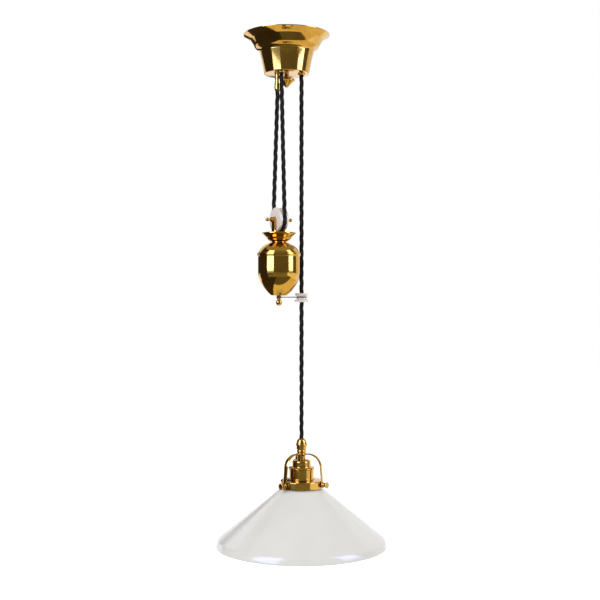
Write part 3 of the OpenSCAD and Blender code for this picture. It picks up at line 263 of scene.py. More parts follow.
def braided_cotton(name):
    """Braided cotton over each core of the flex. The threads cross at a slant, about 0.8 mm apart. The colour
    is painted lighter on the ridges and darker in the hollows, a painted highlight and painted shade, with a
    faint sheen on top. V runs along the core in metres and U once round it."""
    material, tree, shader = new_material(name)
    uv = add(tree, "UVMap", uv_map="UVMap").outputs["UV"]
    way = add(tree, "SeparateXYZ", {"Vector": uv})
    threads = []
    for turn in (1, -1):
        along = maths(tree, "MULTIPLY", way.outputs["Y"], per_mm(1.6))
        slant = maths(tree, "MULTIPLY_ADD", way.outputs["X"], 6.0 * turn, along)
        threads.append(maths(tree, "SINE", maths(tree, "MULTIPLY", slant, 2 * math.pi)))
    # Painted light: 1 on the threads' ridges (painted highlight), 0 in the hollows between them (painted
    # shade)
    painted_ridge_light = stretch(tree, maths(tree, "MAXIMUM", *threads), -0.4, 1.0)
    weave_with_painted_shade = mix(tree, 0.35, painted_ridge_light, noise(tree, uv, 1.2, 3.0))
    plug(tree, shader, {
        # Base colour: painted shade in the braid's hollows and a painted highlight on its ridges, mixed with
        # random tone
        "Base Color": ramp(tree, weave_with_painted_shade, (0.1, "#090706"), (0.9, "#2e2622")),
        "Roughness": 0.75,
        "Specular IOR Level": 0.15,
        "Sheen Weight": 0.03,
        "Sheen Tint": linear("#c8a890"),
        "Sheen Roughness": 0.5,
        "Normal": relief(tree, 0.6, 0.2, weave_with_painted_shade),
    })
    return material


def plated_steel(name):
    """Zinc plated steel: pale grey, with the soft spangle of the plating and a dull shine."""
    material, tree, shader = new_material(name)
    place = add(tree, "TexCoord").outputs["Object"]
    spangle = cells(tree, place, 2.4)
    mixed = mix(tree, 0.3, noise(tree, place, 12, 4.0), spangle)
    plug(tree, shader, {
        "Base Color": ramp(tree, mixed, (0.25, "#8d9093"), (0.65, "#b9bcbe")),
        "Metallic": 1.0,
        "Roughness": span(tree, mixed, 0.25, 0.45),
        "Normal": relief(tree, 0.15, 0.05, spangle),
    })
    return material


def drawn_wire(name):
    """Drawn steel wire gone dull grey-brown, with small dark spots."""
    material, tree, shader = new_material(name)
    place = add(tree, "TexCoord").outputs["Object"]
    plug(tree, shader, {
        "Base Color": ramp(tree, noise(tree, place, 1.4, 4.0), (0.3, "#5c5750"), (0.65, "#98928a")),
        "Metallic": 0.9,
        "Roughness": 0.42,
    })
    return material


def moulded_resin(name):
    """Moulded urea resin of a terminal block: creamy white with a low gloss and a fine grain."""
    material, tree, shader = new_material(name)
    grain = noise(tree, add(tree, "TexCoord").outputs["Object"], 0.8, 3.0)
    plug(tree, shader, {
        "Base Color": ramp(tree, grain, (0.3, "#dcd9cf"), (0.7, "#ebe9e1")),
        "Roughness": 0.35,
        "IOR": 1.55,
        "Normal": relief(tree, 0.08, 0.05, grain),
    })
    return material


def cast_lead(name):
    """Cast lead ballast: dark, dull grey, with the slight ripple of the pour."""
    material, tree, shader = new_material(name)
    ripple = noise(tree, add(tree, "TexCoord").outputs["Object"], 7, 4.0)
    plug(tree, shader, {
        "Base Color": ramp(tree, ripple, (0.3, "#4c4e51"), (0.7, "#6f7275")),
        "Metallic": 0.8,
        "Roughness": 0.55,
        "Normal": relief(tree, 0.3, 0.4, ripple),
    })
    return material


ROSE_BRASS = aged_brass("rose_spun_brass", ROSE)
ANCHOR_BRASS = aged_brass("anchor_turned_brass", ANCHOR)
RISER_BRASS = aged_brass("riser_turned_brass", RISER)
WEIGHT_BRASS = aged_brass("weight_spun_brass", WEIGHT, light="#d6a64c", dark="#b38539")
LAMP_BRASS = aged_brass("lamp_turned_brass", LAMP, rough=0.12)
CONTACT_BRASS = aged_brass("rolled_contact_brass", LAMP, light="#e0bd6c", dark="#b98f44", rough=0.2)
PORCELAIN = porcelain("glazed_porcelain")
OPAL = opal_glass("blown_opal_glass")
COTTON = braided_cotton("braided_cotton")
ZINC = plated_steel("zinc_plated_steel")
WIRE_STEEL = drawn_wire("drawn_wire")
RESIN = moulded_resin("moulded_resin")
LEAD = cast_lead("cast_lead")


# ---- Shapes ----

def bend(a, b, c, steps=10):
    """Points of a curve from a to c that leaves a and reaches c along the lines to b."""
    a, b, c = Vector(a), Vector(b), Vector(c)
    return [(1 - t) ** 2 * a + 2 * t * (1 - t) * b + t * t * c for t in (i / steps for i in range(steps + 1))]


def sweep(a, b, c, d, steps=20):
    """Points of an S curve from a to d, with b and c to steer it."""
    a, b, c, d = Vector(a), Vector(b), Vector(c), Vector(d)
    return [(1 - t) ** 3 * a + 3 * t * (1 - t) ** 2 * b + 3 * t * t * (1 - t) * c + t ** 3 * d
            for t in (i / steps for i in range(steps + 1))]


def inset(outline, wall):
    """The outline moved to its right-hand side."""
    points = [Vector(p) for p in outline]
    moved = []
    for i, point in enumerate(points):
        way = points[min(i + 1, len(points) - 1)] - points[max(i - 1, 0)]
        way.normalize()
        moved.append(point + wall * Vector((way.y, -way.x)))
    return moved


def sheet_metal(outline, wall):
    """A closed outline of a wall that lies to the right of an open one."""
    return list(outline) + inset(outline, wall)[::-1]


def soften(outline, size):
    """A closed outline whose sharp corners off the axis are rounded."""
    points = [Vector(p) for p in outline]
    done = []
    for i, point in enumerate(points):
        before, after = points[i - 1], points[(i + 1) % len(points)]
        arrive, leave = point - before, after - point
        short = min(arrive.length, leave.length)
        if short < 1e-6 or point.x < 1e-6 or arrive.angle(leave) < math.radians(24):
            done.append(point)
            continue
        cut = min(size, short * 0.45)
        done += bend(point - arrive.normalized() * cut, point, point + leave.normalized() * cut, 3)
    return done


def finish_mesh(bm, name, material, body, replaces, sharp=38):
    """Makes a piece of a bmesh: merged, facing outwards, smooth but for its sharp edges."""
    bmesh.ops.remove_doubles(bm, verts=bm.verts, dist=1e-7)
    bmesh.ops.recalc_face_normals(bm, faces=bm.faces)
    for face in bm.faces:
        face.smooth = True
    for edge in bm.edges:
        edge.smooth = not (len(edge.link_faces) == 2 and edge.calc_face_angle(0) > math.radians(sharp))
    mesh = bpy.data.meshes.new(name)
    bm.to_mesh(mesh)
    bm.free()
    return place_piece(mesh, name, material, body, replaces)


def place_piece(mesh, name, material, body, replaces):
    mesh.materials.clear()
    mesh.materials.append(material)
    piece = bpy.data.objects.new(name, mesh)
    bpy.context.collection.objects.link(piece)
    if body:
        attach(piece, body)
    if replaces:
        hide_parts(*replaces)
    return piece


def lathe(bm, outline, steps=144):
    """Spins a closed outline of (radius, height) in mm round Z. Returns the new vertices."""
    known = set(bm.verts)
    verts = [bm.verts.new((p[0] * MM, 0, p[1] * MM)) for p in outline]
    edges = []
    for a, b in zip(verts, verts[1:] + verts[:1]):
        if (a.co - b.co).length > 1e-7 and not (a.co.x < 1e-7 and b.co.x < 1e-7):
            edges.append(bm.edges.new((a, b)))
    bmesh.ops.spin(bm, geom=verts + edges, cent=(0, 0, 0), axis=(0, 0, 1), angle=2 * math.pi,
                   steps=steps, use_merge=True)
    return [v for v in bm.verts if v not in known]


TURN_X = Matrix.Rotation(math.radians(90), 4, "Y")
TURN_Y = Matrix.Rotation(math.radians(-90), 4, "X")


def shift(x, y, z=0.0):
    return Matrix.Translation(Vector((x, y, z)) * MM)


def turned(name, outlines, at, material, body, replaces, slot="aged_brass", steps=144, soft=0.25,
           turn=None, z=0.0):
    """A turned or spun piece of one or more closed outlines."""
    bm = bmesh.new()
    for outline in outlines:
        verts = lathe(bm, soften(outline, soft) if soft else outline, steps)
        bmesh.ops.transform(bm, matrix=shift(at[0], at[1], z) @ (turn or Matrix()), verts=verts)
    return finish_mesh(bm, name, material, body, replaces)


def turned_for_weight(name, outline, node, **more):
    turned(name, [outline], WEIGHT, WEIGHT_BRASS, "counterweight", [node], **more)


def turned_for_lamp(name, outline, node, **more):
    turned(name, [outline], LAMP, LAMP_BRASS, "lamp", [node], **more)


def eased(name, node, material, body, width=0.3, sharp=38):
    """A node's own form with its edges taken off, as a file and a polishing mop leave them."""
    bm = bmesh.new()
    bm.from_mesh(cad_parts[node].data)
    bmesh.ops.remove_doubles(bm, verts=bm.verts, dist=1e-6)
    bmesh.ops.dissolve_limit(bm, angle_limit=math.radians(1), verts=bm.verts, edges=bm.edges)
    edges = [e for e in bm.edges if len(e.link_faces) == 2 and e.calc_face_angle(0) > math.radians(sharp)]
    bmesh.ops.bevel(bm, geom=edges, offset=width * MM, offset_type="OFFSET", segments=2, profile=0.5,
                    material=-1, affect="EDGES", clamp_overlap=True)
    piece = finish_mesh(bm, name, material, body, [node])
    piece.modifiers.new("flat_faces_stay_flat", "WEIGHTED_NORMAL").keep_sharp = True
    return piece


# ---- Cord ----

# The flex: radius of a core, of the circle on which the cores lie, length of one turn, and the
# distance from point to point, in mm
CORE_R = 1.6
LAY_R = 1.72
LAY = 44.0
CORD_STEP = 1.8

# The tail, from the terminal block over a bend down into the anchor grip, in mm
TERMINAL = (-8.0, 8.5)
TERMINAL_GAP = 3
TAIL_BEND_R = 12
TAIL_BEND_FOOT = -22
GRIP_OVERLAP = 2

# Where the drop strand ends, in mm
DROP_END = CAP - 5.8


def arc(centre, across, up, radius, first, last):
    """Points on a circle in the plane of two directions, between two angles in degrees."""
    count = max(8, round(abs(last - first) * math.pi / 180 * radius / CORD_STEP))
    angles = [math.radians(first + (last - first) * i / count) for i in range(count + 1)]
    centre, across, up = Vector(centre), Vector(across), Vector(up)
    return [centre + radius * (math.cos(a) * across + math.sin(a) * up) for a in angles]


def straight(start, end):
    start, end = Vector(start), Vector(end)
    count = max(2, round((end - start).length / CORD_STEP))
    return [start.lerp(end, i / count) for i in range(count + 1)]


def tangent(exit_point, side):
    """Angle on the weight's pulley, from the back through the top, where a strand meets it."""
    back, up = exit_point[1] - WEIGHT[1], exit_point[2] - PULLEY
    return math.degrees(math.atan2(up, back) + side * math.acos(PULLEY_PATH / math.hypot(back, up)))


def cord_route():
    """The whole cord as named stretches, from the terminal block to the lampholder, in mm."""
    anchor_exit = (*ANCHOR, GRIP_TIP + GRIP_OVERLAP)
    riser_exit = (*RISER, CANOPY_FLOOR)
    loop = arc((*WEIGHT, PULLEY), (0, 1, 0), (0, 0, 1), PULLEY_PATH,
               tangent(anchor_exit, -1), tangent(riser_exit, 1) - 360)
    over = arc((0, DROP[1], CEILING_AXLE), (-1, 0, 0), (0, 0, 1), PULLEY_PATH, 0, 180)
    into = Vector((*TERMINAL, 0)) - Vector((*ANCHOR, 0))
    reach = into.length
    into.normalize()
    foot = Vector((*ANCHOR, TAIL_BEND_FOOT))
    corner = foot + TAIL_BEND_R * into
    level = corner + Vector((0, 0, TAIL_BEND_R))
    tail = straight(level + (reach - TAIL_BEND_R - TERMINAL_GAP) * into, level)
    tail += arc(corner, -into, (0, 0, 1), TAIL_BEND_R, 90, 0)[1:] + straight(foot, anchor_exit)[1:]
    return {
        "tail": tail,
        "anchor": straight(anchor_exit, loop[0]),
        "loop": loop,
        "riser": straight(loop[-1], riser_exit),
        "ceiling": (straight(riser_exit, (*RISER, CEILING_AXLE)) + over[1:]
                    + straight((*DROP, CEILING_AXLE), (*DROP, CANOPY_FLOOR))[1:]),
        "drop": straight((*DROP, CANOPY_FLOOR), (*LAMP, DROP_END)),
    }


def lay_cores(route):
    """Winds three cores round the route. Returns the cores' points for each stretch."""
    names, points, owner = list(route), [], []
    for name in names:
        fresh = route[name] if not points else route[name][1:]
        points += fresh
        owner += [name] * len(fresh)
    cores = {name: [[], [], []] for name in names}
    normal, travelled = Vector((0, 0, 1)), 0.0
    for i, point in enumerate(points):
        way = (points[min(i + 1, len(points) - 1)] - points[max(i - 1, 0)]).normalized()
        normal = (normal - normal.dot(way) * way).normalized()
        if i:
            travelled += (point - points[i - 1]).length
        side = way.cross(normal)
        for k in range(3):
            angle = 2 * math.pi * (travelled / LAY + k / 3)
            place = point + LAY_R * (math.cos(angle) * normal + math.sin(angle) * side)
            cores[owner[i]][k].append(place)
            if i + 1 < len(points) and owner[i + 1] != owner[i]:
                cores[owner[i + 1]][k].append(place)
    return cores


def cord_piece(name, cores, body, replaces):
    """A stretch of the flex: three round cores, with V along each core in metres."""
    curve = bpy.data.curves.new(name, "CURVE")
    curve.dimensions = "3D"
    curve.bevel_depth = CORE_R * MM
    curve.bevel_resolution = 2
    curve.use_fill_caps = True
    for core in cores:
        spline = curve.splines.new("POLY")
        spline.points.add(len(core) - 1)
        for point, place in zip(spline.points, core):
            point.co = (*(place * MM), 1)
    draft = bpy.data.objects.new(name + "_draft", curve)
    bpy.context.collection.objects.link(draft)
    mesh = bpy.data.meshes.new_from_object(draft.evaluated_get(bpy.context.evaluated_depsgraph_get()))
    bpy.data.objects.remove(draft)
    length = sum((b - a).length for a, b in zip(cores[0], cores[0][1:])) * MM
    for corner in mesh.uv_layers[0].data:
        corner.uv.y *= length
    mesh.uv_layers[0].name = "UVMap"
    for face in mesh.polygons:
        face.use_smooth = True
    return place_piece(mesh, name, COTTON, body, replaces)


def build_cord():
    cores = lay_cores(cord_route())
    cord_piece("flex_tail", cores["tail"], "ceiling_rose", ["cord_tail"])
    cord_piece("flex_ceiling_loop", cores["ceiling"], "ceiling_rose", ["cord_ceiling_loop"])
    cord_piece("flex_weight_loop", cores["loop"], "counterweight", ["cord_weight_loop"])
    anchor = cord_piece("flex_anchor_strand", cores["anchor"], None, ["cord_anchor_strand"])
    riser = cord_piece("flex_riser_strand", cores["riser"], None, ["cord_riser_strand"])
    drop = cord_piece("flex_drop_strand", cores["drop"], None, ["cord_drop_strand"])
    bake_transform(anchor)
    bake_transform(riser)
    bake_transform(drop)


build_cord()


# ---- Ceiling rose ----

def rose_outline():
    """The canopy's outer side: lip, tapered band, stepped shoulder, waisted bowl and flat floor."""
    return ([(63.2, 0)] + bend((63.2, -0.9), (56.8, -4), (53, -8), 16)
            + bend((48.2, -16.5), (46.8, -19.8), (42.9, -21.5), 10)
            + bend((42.6, -21.7), (40.3, -23.2), (39.6, -27), 14)
            + bend((39.5, -27.4), (35.9, -41.5), (33.3, -56.2), 20)
            + bend((33.2, -57), (33.0, CANOPY_FLOOR), (31.7, CANOPY_FLOOR), 5) + [(0, CANOPY_FLOOR)])


def build_rose():
    turned("rose_canopy", [sheet_metal(rose_outline(), 1.0)], ROSE, ROSE_BRASS, "ceiling_rose",
           ["canopy"], steps=192)
    neck, rim, tip = -64.8, -66.8, -77.3
    knob = ([(0, CANOPY_FLOOR), (3.4, CANOPY_FLOOR)]
            + bend((3.4, neck + 1), (3.8, neck), (6.4, neck - 0.2), 5)
            + bend((10.9, neck - 0.6), (12.5, neck - 0.8), (12.5, neck - 1.6), 4)
            + bend((12.5, rim), (12.5, rim - 0.8), (10.9, rim - 1.2), 4)
            + bend((6.25, rim - 5.775), (3.4, tip + 2), (2.4, tip + 0.8), 8) + [(1.4, tip), (0, tip)])
    turned("rose_knob", [knob], ROSE, ROSE_BRASS, "canopy_knob", ["canopy_knob"])
    bush = [(3.6, 0.6), (4.2, 0), (4.6, 0), (5.4, 0.8), (5.4, 2), (4.5, 2), (4.5, 6.6), (3.6, 6.6)]
    for name, at, brass, node in (("riser_outlet", RISER, RISER_BRASS, "riser_bush"),
                                  ("drop_outlet", DROP, LAMP_BRASS, "drop_bush")):
        turned(name, [bush], at, brass, "ceiling_rose", [node], z=CANOPY_FLOOR - 2, steps=64)
    flange, waist, flare = -60.4, -66.4, -76.4
    body = ([(3.3, CANOPY_FLOOR + 4.6), (4.5, CANOPY_FLOOR + 4.6), (4.5, CANOPY_FLOOR),
             (4.8, CANOPY_FLOOR), (4.8, flange + 0.8)]
            + bend((4.4, flange), (4, flange), (4, flange - 1), 3)
            + [(4, waist + 1), (4.5, waist + 0.6), (4.5, waist - 0.6), (4, waist - 1)]
            + bend((4, waist - 2), (4.2, flare + 2), (5, flare), 6) + [(3.3, flare)])
    turned("anchor_grip", [body], ANCHOR, ANCHOR_BRASS, "ceiling_rose", ["anchor_grip_body"], steps=64)
    cap = [(3.3, flare)] + bend((5, flare), (5, GRIP_TIP + 3), (3.9, GRIP_TIP), 10) + [(3.3, GRIP_TIP)]
    turned("anchor_cap", [cap], ANCHOR, ANCHOR_BRASS, "ceiling_rose", ["anchor_grip_cap"], steps=64)


def build_fittings():
    """What the open top of the rose shows: the strap, the bracket, the axle, the terminal block
    and the nuts."""
    for name, node, material, slot, width in (
        ("strap_plate", "ceiling_strap", ZINC, "zinc_steel", 0.5),
        ("hanging_stud", "canopy_stud", ZINC, "zinc_steel", 0.4),
        ("stud_nut", "stud_locknut", ZINC, "zinc_steel", 0.3),
        ("wheel_bracket", "pulley_bracket", ZINC, "zinc_steel", 0.4),
        ("bracket_pins", "bracket_rivets", ZINC, "zinc_steel", 0.3),
        ("wheel_axle", "ceiling_axle", ZINC, "zinc_steel", 0.3),
        ("axle_clips", "ceiling_axle_clips", ZINC, "zinc_steel", 0.2),
        ("wiring_block", "terminal_block", RESIN, "block_plastic", 0.6),
        ("wiring_screws", "terminal_screws", ZINC, "zinc_steel", 0.15),
        ("earth_point", "earth_screw", ROSE_BRASS, "aged_brass", 0.2),
        ("anchor_nut", "anchor_locknut", ANCHOR_BRASS, "aged_brass", 0.3),
        ("outlet_nuts", "bush_locknuts", ROSE_BRASS, "aged_brass", 0.3),
    ):
        eased(name, node, material, "ceiling_rose", width)


def pulley_outline():
    """Half of a grooved wheel, closed round its bore."""
    half, lip, outer, edge, groove_r, bore = 6.7, 5.2, 17.8, 1.5, 3.3, 2.1
    groove = [Vector((PULLEY_PATH, 0)) + groove_r * Vector((-math.cos(a), math.sin(a)))
              for a in (math.radians(90 - 15 * i) for i in range(13))]
    rim = bend((outer - edge, half), (outer, half), (outer, lip), 5)
    return ([(bore, -half), (outer - edge, -half)] + [(p.x, -p.y) for p in rim[1:]]
            + [(outer, -groove_r)] + groove[::-1] + [(outer, groove_r)]
            + rim[:0:-1] + [(outer - edge, half), (bore, half)])


def build_pulleys():
    turned("rose_pulley", [pulley_outline()], (0, DROP[1]), PORCELAIN, "ceiling_pulley", ["ceiling_pulley"],
           slot="porcelain", turn=TURN_Y, z=CEILING_AXLE, steps=96)
    turned("weight_wheel", [pulley_outline()], WEIGHT, PORCELAIN, "weight_pulley", ["weight_pulley"],
           slot="porcelain", turn=TURN_X, z=PULLEY, steps=96)


# ---- Counterweight ----

def build_weight():
    waist, waist_inside, floor_top = -298.29, -297.29, -303.8
    dish = ([(23.9, DISH), (24.4, DISH - 0.5), (24.4, DISH - 1.7), (23.9, DISH - 2.2), (19.3, waist)]
            + bend((18.6, -298.49), (17.55, -302.2), (13.8, floor_top), 12)
            + bend((13.2, -304.3), (12.8, DISH_FLOOR), (11.6, DISH_FLOOR), 5)
            + [(0, DISH_FLOOR), (0, floor_top)]
            + bend((9.6, floor_top), (12.2, -302.4), (18.3, waist_inside), 12)
            + [(22.9, DISH - 2.2), (22.9, DISH)])
    turned_for_weight("weight_cup", dish, "weight_dish")
    collar = [(2.65, LID), (10.3, LID), (10.3, LID + 1.4), (2.65, LID + 1.4)]
    turned_for_weight("weight_neck", collar, "neck_collar")
    lid = [(0, LID), (12.4, LID)] + bend((13.4, LID - 0.2), (26, LID - 4.3), (29.6, BAND), 16)
    turned_for_weight("weight_cover", sheet_metal(lid, 1.0), "weight_lid")
    inner, step, middle = 30.5, 0.9, BAND - 3
    band = ([(inner, middle + 2.9), (inner + 0.45, middle + 2.9), (inner + step, middle + 3 - step)]
            + bend((31.3, middle + 1.5), (32.1, middle), (31.3, middle - 1.5), 8)
            + [(inner + step, middle - 3 + step), (inner + 0.45, middle - 3), (inner, middle - 3)])
    turned_for_weight("weight_bead", band, "weight_band", steps=160)
    wide = 30.4
    shell = ([(wide, BAND - 0.65), (wide, BOWL + 2)]
             + sweep((wide, BOWL), (wide, BOWL - 12.8), (22, BOWL - 25.3), (12.2, SHELL_FLOOR + 1), 24)
             + [(9.4, SHELL_FLOOR + 0.2), (8, SHELL_FLOOR), (0, SHELL_FLOOR)])
    turned_for_weight("weight_bowl", sheet_metal(shell, 1.0), "weight_shell", steps=160)
    bead, ball, ball_r = WIRE - 0.8, SHELL_FLOOR - 9.7, 4.6
    finial = ([(0, SHELL_FLOOR), (3.1, SHELL_FLOOR), (3.4, SHELL_FLOOR - 0.3), (3.4, SHELL_FLOOR - 0.8),
               (3.1, SHELL_FLOOR - 1.1), (2.9, SHELL_FLOOR - 1.1), (2.9, bead), (3.2, bead),
               (3.6, bead - 0.5), (3.6, bead - 1.3), (2.8, bead - 2), (2.3, bead - 2.6)]
              + [Vector((ball_r * math.sin(a), ball + ball_r * math.cos(a)))
                 for a in (math.radians(28 + 8 * i) for i in range(19))]
              + [(0, ball - ball_r)])
    turned_for_weight("weight_tip", finial, "weight_finial", steps=64)
    half, groove = 6.6, 2.6
    upper = [(3.6, half - 0.8), (4.4, half), (8.34, half), (9.66, half - 0.55), (10.1, half - 1.54),
             (9.44, groove + 0.5), (7.7, groove), (7.2, groove - 0.6)]
    spool = upper + [(radius, -height) for radius, height in reversed(upper)]
    turned("guide_bobbin", [spool], LAMP, PORCELAIN, "counterweight", ["guide_spool"],
           slot="porcelain", z=SPOOL, steps=96)


def build_fork():
    """The fork that hangs on the pulley's axle. The axle ends in a small turned ball on each side."""
    ball_r, ball_at = 2.8, 19.1
    ball = [Vector((ball_r * math.sin(a), ball_at + ball_r * math.cos(a)))
            for a in (math.radians(8 * i) for i in range(19))]
    end = ball + bend((1.6, 16.4), (1.6, 15), (2, 13.5), 5)
    axle = end + [Vector((p[0], -p[1])) for p in reversed(end)]
    turned_for_weight("fork_axle", axle, "weight_axle", steps=48, turn=TURN_X, z=PULLEY, soft=0)
    collar = [(2.15, 10.1), (3.3, 10.1), (3.7, 10.5), (3.7, 12.6), (3.1, 13.5), (2.15, 13.5)]
    collars = [[(radius, side * along) for radius, along in collar] for side in (1, -1)]
    turned("fork_collars", collars, WEIGHT, WEIGHT_BRASS, "counterweight", ["axle_collars"],
           steps=64, turn=TURN_X, z=PULLEY)
    eased("fork_strip", "weight_fork", WEIGHT_BRASS, "counterweight", 0.35)
    eased("fork_washer", "fork_spacer", WEIGHT_BRASS, "counterweight", 0.3)
    eased("fork_hex_nut", "fork_nut", WEIGHT_BRASS, "counterweight", 0.4, sharp=30)
    eased("ballast_cast", "lead_ballast", LEAD, "counterweight", 0.8)
    eased("rod_steel", "tie_rod", ZINC, "counterweight", 0.3)


# ---- Lamp ----

def build_lamp():
    bead = LAMP_TOP - 8
    cap = ([(3.3, GRIP), (3.3, LAMP_TOP)] + bend((4, LAMP_TOP), (7.1, LAMP_TOP - 2.2), (7.7, bead + 0.4), 12)
           + bend((8.2, bead), (8.8, bead - 1.1), (8.2, GRIP + 0.3), 6) + [(7.7, GRIP)])
    turned_for_lamp("lamp_cap", cap, "lamp_grip_cap", steps=96)
    foot, bead_top, bead_middle, bead_foot = -608.3, -609.3, -610.95, -612.6
    body = ([(3.3, GRIP), (7.6, GRIP), (7.6, -607.7), (7.0, foot), (6.1, foot), (6.1, bead_top)]
            + bend((6.3, bead_top), (7.5, bead_middle), (6.3, bead_foot), 8)
            + [(6.1, bead_foot), (6.1, HUB), (3.3, HUB)])
    turned_for_lamp("lamp_grip", body, "lamp_grip_body", steps=96)
    under = HUB - 3.1
    nipple = [(3.3, HUB + 6.8), (4.7, HUB + 6.8), (4.7, under), (5.4, under), (6, under - 0.6),
              (6, CAP + 0.6), (6.6, CAP), (4.7, CAP), (4.7, CAP - 7), (3.3, CAP - 7)]
    turned_for_lamp("lamp_neck", nipple, "lamp_nipple", steps=96)
    holder = ([(4.8, CAP), (7.8, CAP)] + bend((8.4, CAP - 0.1), (13.4, CAP - 0.6), (13.7, CAP - 4.4), 12)
              + [(13.7, HOLDER_RING + 1.6)]
              + bend((13.9, HOLDER_RING + 0.8), (14.3, HOLDER_RING), (15.3, HOLDER_RING), 4)
              + [(17.8, HOLDER_RING)])
    turned_for_lamp("holder_dome", sheet_metal(holder, 0.9), "holder_cap")
    ring_foot = HOLDER_RING - 3
    ring = [(17.1, HOLDER_RING - 0.9), (18, HOLDER_RING - 0.9), (18, HOLDER_RING), (18.4, HOLDER_RING),
            (19.2, HOLDER_RING - 0.8), (19.2, ring_foot + 0.8), (18.4, ring_foot), (17.1, ring_foot)]
    turned_for_lamp("holder_bead", ring, "holder_ring")
    skirt = [(17.1, ring_foot), (18, ring_foot), (18, PLATE + 2.1), (18.7, PLATE + 1.4), (18.7, PLATE),
             (17.1, PLATE)]
    turned_for_lamp("holder_tube", skirt, "holder_skirt")
    gallery = ([(17.2, PLATE), (19.8, PLATE), (29.6, -653.1)]
               + bend((30.2, -653.2), (31, -653.5), (31, -654.9), 6)
               + [(31, GALLERY_FOOT + 1), (31, GALLERY_FOOT)])
    turned_for_lamp("shade_gallery", sheet_metal(gallery, 1.0), "gallery")


def build_socket():
    """The porcelain insert with its rolled thread, the contact, and the ring nut under the
    gallery's plate."""
    eased("socket_porcelain", "porcelain_insert", PORCELAIN, "lamp", 0.4)
    eased("socket_contact", "centre_contact", CONTACT_BRASS, "lamp", 0.3)
    eased("clamping_ring", "shade_ring", LAMP_BRASS, "lamp", 0.3)
    pitch, thread_r, depth, sheet, steps = 3.63, 13.45, 0.4, 0.05, 64
    top, foot = INSERT_FOOT + 20.15, INSERT_FOOT + 0.25
    turns = math.ceil((top - foot) / pitch) + 2
    bm = bmesh.new()
    wave = []
    for i in range(11):
        radius, height = thread_r + depth * math.cos(2 * math.pi * i / 10), foot - pitch + pitch * i / 10
        wave.append(bm.verts.new((radius * MM, 0, height * MM)))
    edges = [bm.edges.new(pair) for pair in zip(wave, wave[1:])]
    bmesh.ops.spin(bm, geom=wave + edges, cent=(0, 0, 0), axis=(0, 0, 1), dvec=(0, 0, pitch * MM / steps),
                   angle=2 * math.pi * turns, steps=steps * turns, use_merge=False)
    bmesh.ops.remove_doubles(bm, verts=bm.verts, dist=1e-6)
    for height, way in ((top, 1), (foot, -1)):
        bmesh.ops.bisect_plane(bm, geom=list(bm.verts) + list(bm.edges) + list(bm.faces),
                               plane_co=(0, 0, height * MM), plane_no=(0, 0, way), clear_outer=True)
    bmesh.ops.recalc_face_normals(bm, faces=bm.faces)
    bmesh.ops.solidify(bm, geom=bm.faces, thickness=-sheet * MM)
    bmesh.ops.translate(bm, vec=(LAMP[0] * MM, LAMP[1] * MM, 0), verts=bm.verts)
    finish_mesh(bm, "socket_thread", CONTACT_BRASS, "lamp", ["thread_shell"], sharp=50)


def carrier_arm(bm, angle):
    """One arm of half-round strip: level from the hub, round a bend and down its leaning leg to the eye."""
    known = set(bm.verts)
    half, edge, thick, lean = 4.1, 1.1, 1.8, math.radians(5)
    start, level, bend_at, bend_r, leg, eye_at, eye_r = 5, 6.21, 11.21, 20, 27.2, 31.7, 4.3
    section = (bend((-half, -edge), (0, edge), (half, -edge), 10)
               + bend((half, 0.25 - thick), (half, -thick), (half - 0.25, -thick), 3)
               + bend((0.25 - half, -thick), (-half, -thick), (-half, 0.25 - thick), 3))
    end = bm.faces.new([bm.verts.new((start * MM, p.x * MM, (HUB + p.y) * MM)) for p in section])

    def run(length, way):
        made = bmesh.ops.extrude_face_region(bm, geom=[end])["geom"]
        moved = [v for v in made if isinstance(v, bmesh.types.BMVert)]
        bmesh.ops.translate(bm, vec=Vector(way) * length * MM, verts=moved)
        return next(f for f in made if isinstance(f, bmesh.types.BMFace))

    end = run(level, (1, 0, 0))
    made = bmesh.ops.spin(bm, geom=[end] + list(end.edges) + list(end.verts),
                          cent=(bend_at * MM, 0, (HUB - bend_r) * MM), axis=(0, 1, 0),
                          angle=math.radians(90) - lean, steps=18, use_merge=False)["geom_last"]
    end = next(f for f in made if isinstance(f, bmesh.types.BMFace))
    run(leg, (math.sin(lean), 0, -math.cos(lean)))
    eye = lathe(bm, soften([(0, 0), (eye_r, 0), (eye_r, thick), (0, thick)], 0.4), 48)
    bmesh.ops.transform(bm, matrix=shift(eye_at, 0, SCREWS) @ TURN_X, verts=eye)
    bmesh.ops.transform(bm, matrix=shift(*LAMP) @ Matrix.Rotation(math.radians(angle), 4, "Z"),
                        verts=[v for v in bm.verts if v not in known])


def build_carrier():
    """The three-armed carrier that hangs the shade from the grip, with a boss and a thumb screw at
    each foot."""
    bm = bmesh.new()
    hub = [(4.8, HUB)] + bend((6.2, HUB), (7.6, HUB - 1.55), (6.2, HUB - 3.1), 8) + [(4.8, HUB - 3.1)]
    bmesh.ops.transform(bm, matrix=shift(*LAMP), verts=lathe(bm, hub, 96))
    for angle in ARMS.values():
        carrier_arm(bm, angle)
    finish_mesh(bm, "shade_carrier", LAMP_BRASS, "lamp", ["shade_arch"], sharp=30)
    bosses = bmesh.new()
    boss = soften([(1.95, 0), (3.15, 0), (3.6, 0.45), (3.6, 1.5), (3.3, 2.1), (2.7, 2.4), (1.95, 2.4)], 0.25)
    boss_at = 33.5
    for side, angle in ARMS.items():
        turn = Matrix.Rotation(math.radians(angle), 4, "Z") @ TURN_X
        out = Vector((math.cos(math.radians(angle)), math.sin(math.radians(angle)))) * boss_at
        made = lathe(bosses, boss, 64)
        bmesh.ops.transform(bosses, matrix=shift(LAMP[0] + out.x, LAMP[1] + out.y, SCREWS) @ turn, verts=made)
        thumb_screw(side, turn)
    finish_mesh(bosses, "carrier_bosses", LAMP_BRASS, "lamp", ["arch_bosses"])


